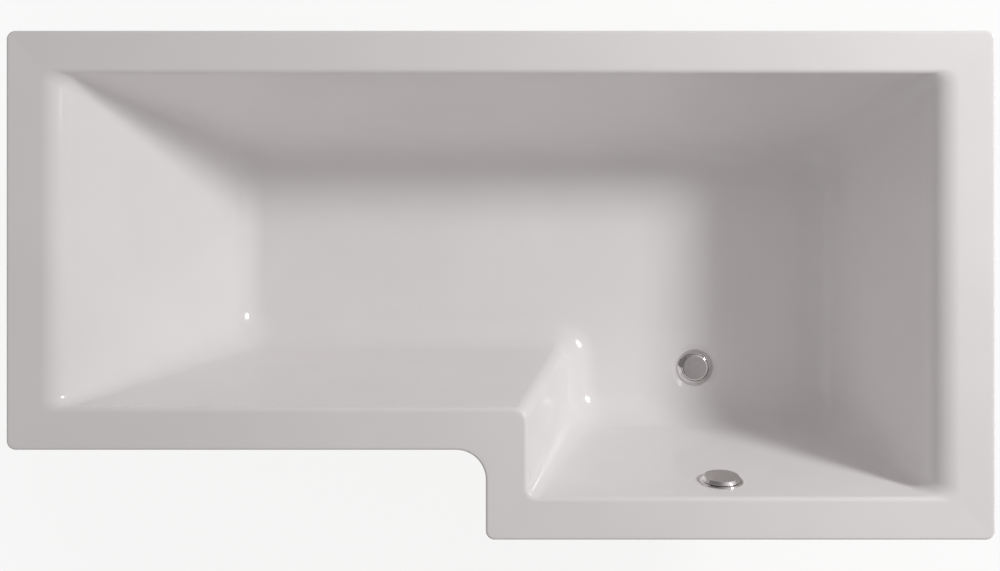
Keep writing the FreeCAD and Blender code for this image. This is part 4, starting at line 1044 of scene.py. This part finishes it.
class BATH_OT_nuts(Operator):
    """Leg nuts and rail screws"""
    bl_idname = "bath.nuts"
    bl_label = "Nuts and screws"

    def execute(self, context):
        nut, screw = self.nut(context.scene.bath_fittings), self.screw()
        sixth, half = math.pi / 3, math.pi
        for name, node, piece, spots, sharp, turn, seed in (
                ("nuts_upper", "leg_nuts_upper", nut, self.nut_spots("leg_nuts_upper"), 25.0, sixth, 3),
                ("nuts_lower", "leg_nuts_lower", nut, self.nut_spots("leg_nuts_lower"), 25.0, sixth, 8),
                ("board_screws", "rail_screws", screw, self.screw_spots("rail_screws"), 35.0, half, 5)):
            copies = set_down(name, spots, piece, "zinc_plated_steel", sharp, turn=turn, seed=seed)
            hand_over(copies, "bath", "zinc_plated_steel", node)
        discard(nut, screw)
        return {"FINISHED"}

    def nut_spots(self, node):
        """Foot of each nut, on its leg."""
        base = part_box(node)[0].z
        boxes = [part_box(f"leg_rod_{body.removeprefix('leg_')}") for body in LEGS]
        return [((low.x + high.x) / 2, (low.y + high.y) / 2, base) for low, high in boxes]

    def nut(self, fittings):
        """Hexagon nut with both its faces chamfered."""
        low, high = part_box("leg_nuts_upper")
        tall, across, bore, neck, count = high.z - low.z, fittings.nut_across / 2, 0.00505, 0.0007, 48
        sixth, slope = math.pi / 3, math.tan(math.radians(30))
        turns = turns_of(count)
        corner = [across / math.cos((turn + sixth / 2) % sixth - sixth / 2) for turn in turns]

        def row(radii, heights):
            return [(r * math.cos(t), r * math.sin(t), z) for r, t, z in zip(radii, turns, heights)]

        def level(radius, height):
            return row([radius] * count, [height] * count)

        flat = across * 0.97  # the face that the chamfer leaves
        drop = [(radius - flat) * slope for radius in corner]
        shape = bmesh.new()
        rows = add_rows(shape, [
            level(bore, neck), level(bore + neck, 0.0), level(flat, 0.0), row(corner, drop),
            row(corner, [tall - fall for fall in drop]), level(flat, tall), level(bore + neck, tall),
            level(bore, tall - neck)])
        bridge(shape, rows[-1], rows[0])
        return from_bmesh("nut", shape, 25.0)

    def screw(self):
        """Pan-head wood screw that points up, with a cross in its head."""
        body = lathe("screw", [
            (0, -3.0, 0), (3.0, -3.0, 1.2), (4.5, -1.6, 1.2), (4.5, 0, 0.3), (2.25, 0, 0),
            (2.25, 11.5, 0), (0, 15.9, 0)], count=40)
        wide, thin, mouth, bottom = 0.0046, 0.0009, -0.0040, -0.0016
        taper_x, taper_y = 0.45, 0.6  # the slots' size at the bottom
        for long, broad in ((wide, thin), (thin, wide)):
            slot = block("slot", lambda at: (
                at.x * long * taper_x, at.y * broad * taper_y, bottom) if at.z > 0 else (
                at.x * long, at.y * broad, mouth))
            cut_away(body, slot)
        soften(body.data, 35.0)
        return body

    def screw_spots(self, node):
        """Underside of each screw's head, found from the tips of the separate screws."""
        low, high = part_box(node)
        head_height = 0.003
        tips = {}
        for vert in frame["nodes"][node].data.vertices:
            if abs(vert.co.z - high.z) < 1e-5:
                tips[(round(vert.co.x, 4), round(vert.co.y, 4))] = vert.co.copy()
        return [(tip.x, tip.y, low.z + head_height) for tip in tips.values()]


class BATH_OT_waste(Operator):
    """Chrome waste and plug in the floor, with the moulded body under it"""
    bl_idname = "bath.waste"
    bl_label = "Waste"

    tail_end = -36.0  # millimetres from the recess, as in the outlines below
    stem_bore = 4.08
    spokes = 5

    def execute(self, context):
        place = waste_place()
        flange = lathe("waste_ring", [
            (20.0, self.tail_end, 0.4), (23.9, self.tail_end, 0.6), (23.9, -9.0, 0.3), (28.5, -9.0, 0.4),
            (28.5, 1.5, 0.3), (35.0, 1.5, 0), (35.0, 0.2, 0), (35.5, 0.2, 0.1), (35.5, 0.5, 0.2),
            (33.6, 2.7, 4.0), (30.6, 4.9, 9.0), (26.9, 6.9, 0.4), (26.4, 6.6, 0.2), (26.4, 2.0, 0.6),
            (23.0, -0.5, 0.4), (20.0, -0.5, 0.5)], place, count=ROUND_STEPS, steps=8)
        piece = joined("waste_flange_ring", flange, self.grate(place))
        hand_over(piece, "bath", "chrome", "waste_flange")
        hand_over(self.plug(place), "plug", "chrome", "plug")
        for name, node, body, bore in (
                ("flange_washer", "flange_seal", "bath", 29.0), ("body_washer", "body_seal", "bath", 29.0),
                ("plug_washer", "plug_seal", "plug", self.stem_bore)):
            hand_over(self.washer(name, node, bore), body, "rubber", node)
        dress("waste_trap_body", "waste_body", "polypropylene", edge=0.0006)
        repaint("polypropylene", "plug_rocker")
        repaint("stainless_steel", "rocker_pin")
        return {"FINISHED"}

    def plug(self, place):
        """Cap with a flat top and a domed edge, on its stem."""
        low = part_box("plug")[0].z / MM - place.translation.z / MM
        top, flat, curve, under, side, stem = 7.5, 21.5, 8.0, 2.0, 25.75, 4.0
        dome_turn, dome_steps = 30, 10
        falls = [math.radians(dome_turn - dome_turn / dome_steps * step) for step in range(dome_steps + 1)]
        dome = [(flat + curve * math.sin(fall), top - curve * (1 - math.cos(fall)), 0) for fall in falls]
        return lathe("plug_cap", [
            (0, low, 0), (stem, low, 0.5), (stem, under, 0.4), (side, under, 0.4), (side, 6.2, 0.2), *dome,
            (0, top, 0)], place, count=ROUND_STEPS, steps=6)

    def washer(self, name, node, bore):
        low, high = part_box(node)
        outer = (high.x - low.x) / 2 / MM
        bottom, top = low.z / MM, high.z / MM
        ease = (top - bottom) * 0.3
        return lathe(name, [
            (bore, bottom, ease), (outer, bottom, ease), (outer, top, ease), (bore, top, ease)],
            Matrix.Translation((*WASTE_PLACE, 0)))

    def grate(self, place):
        """Bars that guide the plug's stem: a hub and five spokes inside the tail."""
        bore, outer, low, high = self.stem_bore, 7.6, self.tail_end, -31.0
        hub = lathe("hub", [
            (bore, low, 0.4), (outer, low, 0.6), (outer, high, 0.6), (bore, high, 0.4)], place, count=64)
        start, reach, broad, level, tall = 0.0073, 0.0132, 0.0042, -0.0335, 0.0045
        spoke = block("spoke", lambda at: (
            start + (at.x + 0.5) * reach, at.y * broad, level + at.z * tall))
        aim = 0.00001
        spots = [(aim * math.cos(turn), aim * math.sin(turn), 0) for turn in turns_of(self.spokes, 0.5)]
        spokes = set_down("spokes", spots, spoke, "chrome", SHARP, outwards=1.0)
        spokes.data.transform(place)
        discard(spoke)
        return joined("grate", hub, spokes)


class BATH_OT_overflow(Operator):
    """Chrome overflow ring and knob on the wall, with the moulded body behind it"""
    bl_idname = "bath.overflow"
    bl_label = "Overflow"

    def execute(self, context):
        knob = lathe("knob_cap", [
            (4.05, 3.3, 0.2), (7.0, 3.3, 0.4), (7.0, 8.4, 0.6), (27.0, 8.4, 1.0), (31.0, 4.0, 0.3),
            (33.8, 4.0, 0.4), (33.8, 5.0, 0.6), (30.0, 10.2, 0.5), (0, 10.2, 0), (0, 9.3, 0),
            (4.05, 9.3, 0.2)], wall_place(), count=ROUND_STEPS, steps=6)
        hand_over(knob, "knob", "chrome", "overflow_knob")
        dress("overflow_back_ring", "overflow_faceplate", "chrome", edge=0.0004)
        dress("overflow_elbow", "overflow_body", "polypropylene", edge=0.0006)
        repaint("rubber", "overflow_gasket")
        repaint("brass", "overflow_spindle")
        repaint("stainless_steel", "overflow_screws")
        return {"FINISHED"}


class BATH_OT_hose(Operator):
    """Ribbed overflow hose, its union nuts and the cable inside it"""
    bl_idname = "bath.hose"
    bl_label = "Hose"

    def execute(self, context):
        dress("ribbed_hose", "overflow_hose", "hose_plastic", sharp=70.0)
        for end in ("upper", "lower"):
            dress(f"union_nut_{end}", f"hose_nut_{end}", "polypropylene", edge=0.0008)
            repaint("rubber", f"hose_seal_{end}")
        repaint("cable_sheath", "control_cable")
        return {"FINISHED"}


class BATH_OT_stage(Operator):
    """Pale floor, one soft lamp, even sky and the camera straight above"""
    bl_idname = "bath.stage"
    bl_label = "Stage"

    floor_reach = 14.0
    floor_drop = -0.0005
    camera_shift = (-0.0012, -0.0005)  # from the middle of the rim, as the photograph is framed
    sensor = 36.0
    fade_reach = (1.0, 2.4)  # metres from the middle over which the floor fades to white
    white_near = 0.88  # share of white in the floor round the part
    lobe_edge, lobe_power, least_glow = 0.1, 3.2, 0.2  # how mirrors see the sky brighten

    def execute(self, context):
        scene, stage = context.scene, context.scene.bath_stage
        scene.view_settings.view_transform = "Standard"
        shape = bmesh.new()
        bmesh.ops.create_circle(shape, cap_ends=True, radius=self.floor_reach, segments=64)
        floor = plain_object("floor", shape)
        floor.location.z = self.floor_drop
        floor.data.materials.append(self.paper())
        self.light(scene, stage)
        camera = new_object("camera", bpy.data.cameras.new("camera"))
        camera.data.lens = stage.lens
        camera.data.sensor_width = self.sensor
        camera.location = (*self.camera_shift, CAD_HIGH.z + stage.camera_height)
        scene.camera = camera
        return {"FINISHED"}

    def paper(self):
        """White paper floor: it takes a soft shadow, fades to white far out, and is clear from below."""
        material = bpy.data.materials.new("floor_paper")
        material.use_nodes = True
        tree = material.node_tree
        tree.nodes.clear()
        grain = add(tree, "ShaderNodeTexNoise", {"Scale": cell_scale(4)})
        tint = ramp(tree, grain.outputs["Fac"], (0.3, "#F4F3F2"), (0.7, "#F8F7F6"))
        matt = add(tree, "ShaderNodeBsdfDiffuse", {"Color": tint})
        bright = add(tree, "ShaderNodeEmission", {"Color": linear(WHITE), "Strength": 1.0})
        path = tree.nodes.new("ShaderNodeLightPath").outputs
        seen = maths(tree, "MAXIMUM", path["Is Camera Ray"], path["Is Glossy Ray"])
        seen = maths(tree, "MAXIMUM", seen, path["Is Transmission Ray"])
        place = tree.nodes.new("ShaderNodeTexCoord").outputs["Object"]
        away = add(tree, "ShaderNodeVectorMath", {0: place}, operation="LENGTH")
        fade = spread(tree, away.outputs["Value"], self.white_near, 1.0, *self.fade_reach)
        share = maths(tree, "MULTIPLY", seen, fade)
        lit = add(tree, "ShaderNodeMixShader", {0: share, 1: matt.outputs[0], 2: bright.outputs[0]})
        clear = tree.nodes.new("ShaderNodeBsdfTransparent")
        side = tree.nodes.new("ShaderNodeNewGeometry").outputs["Backfacing"]
        shown = add(tree, "ShaderNodeMixShader", {0: side, 1: lit.outputs[0], 2: clear.outputs[0]})
        add(tree, "ShaderNodeOutputMaterial", {"Surface": shown.outputs[0]})
        return material

    def light(self, scene, stage):
        """Soft lamp over the wall side of the showering end, and an even sky."""
        lamp = bpy.data.lights.new("main_lamp", "AREA")
        lamp.shape = "DISK"
        lamp.size = stage.lamp_size
        lamp.energy = stage.lamp_power
        lamp.color = linear(WHITE)[:3]
        holder = new_object("main_lamp", lamp)
        holder.location = stage.lamp_place
        toward = Vector((0, 0, CAD_HIGH.z)) - holder.location
        holder.rotation_euler = toward.to_track_quat("-Z", "Y").to_euler()
        scene.world = self.sky(stage)

    def sky(self, stage):
        """Even sky. Mirrors see it brighten towards the lamp, and behind the floor it is white."""
        world = bpy.data.worlds.new("sky")
        world.use_nodes = True
        tree = world.node_tree
        back = tree.nodes["Background"]
        toward = (Vector(stage.lamp_place) - Vector((0, 0, CAD_HIGH.z))).normalized()
        ray = tree.nodes.new("ShaderNodeTexCoord").outputs["Generated"]
        facing = add(tree, "ShaderNodeVectorMath", {0: ray, 1: toward}, operation="DOT_PRODUCT")
        near = spread(tree, facing.outputs["Value"], 0.0, 1.0, self.lobe_edge)
        glow = spread(tree, maths(tree, "POWER", near, self.lobe_power), self.least_glow, 1.0)
        path = tree.nodes.new("ShaderNodeLightPath").outputs
        level = add(tree, "ShaderNodeMix", {0: path["Is Glossy Ray"], 2: stage.sky, 3: glow})
        white = maths(tree, "MAXIMUM", level.outputs[0], path["Is Camera Ray"])
        tree.links.new(white, back.inputs["Strength"])
        tint = add(tree, "ShaderNodeMix", {
            0: path["Is Camera Ray"], 6: linear("#FFF9F9"), 7: linear(WHITE)}, data_type="RGBA")
        tree.links.new(tint.outputs[2], back.inputs["Color"])
        return world


STEPS = (
    BATH_OT_stage, BATH_OT_shell, BATH_OT_backing, BATH_OT_timber, BATH_OT_rails, BATH_OT_legs, BATH_OT_nuts,
    BATH_OT_waste, BATH_OT_overflow, BATH_OT_hose,
)


class BATH_PT_panel(Panel):
    """Sizes, colours and steps of the bath"""
    bl_idname = "BATH_PT_panel"
    bl_label = "Shower bath"
    bl_space_type = "VIEW_3D"
    bl_region_type = "UI"
    bl_category = "Shower bath"

    def draw(self, context):
        for group in GROUPS:
            column = self.layout.column()
            settings = getattr(context.scene, group)
            for field in settings.__annotations__:
                column.prop(settings, field)
        for step in STEPS:
            self.layout.operator(step.bl_idname)


GROUPS = {"bath_shell": BathShellSizes, "bath_fittings": FittingSizes, "bath_stage": StageSettings}
CLASSES = (*GROUPS.values(), *STEPS, BATH_PT_panel)


def register():
    for item in CLASSES:
        bpy.utils.register_class(item)
    for name, group in GROUPS.items():
        setattr(bpy.types.Scene, name, PointerProperty(type=group))


def unregister():
    for name in GROUPS:
        delattr(bpy.types.Scene, name)
    for item in reversed(CLASSES):
        bpy.utils.unregister_class(item)


def main():
    register()
    for step in STEPS:
        area, name = step.bl_idname.split(".")
        getattr(getattr(bpy.ops, area), name)()


if __name__ == "__main__":
    main()
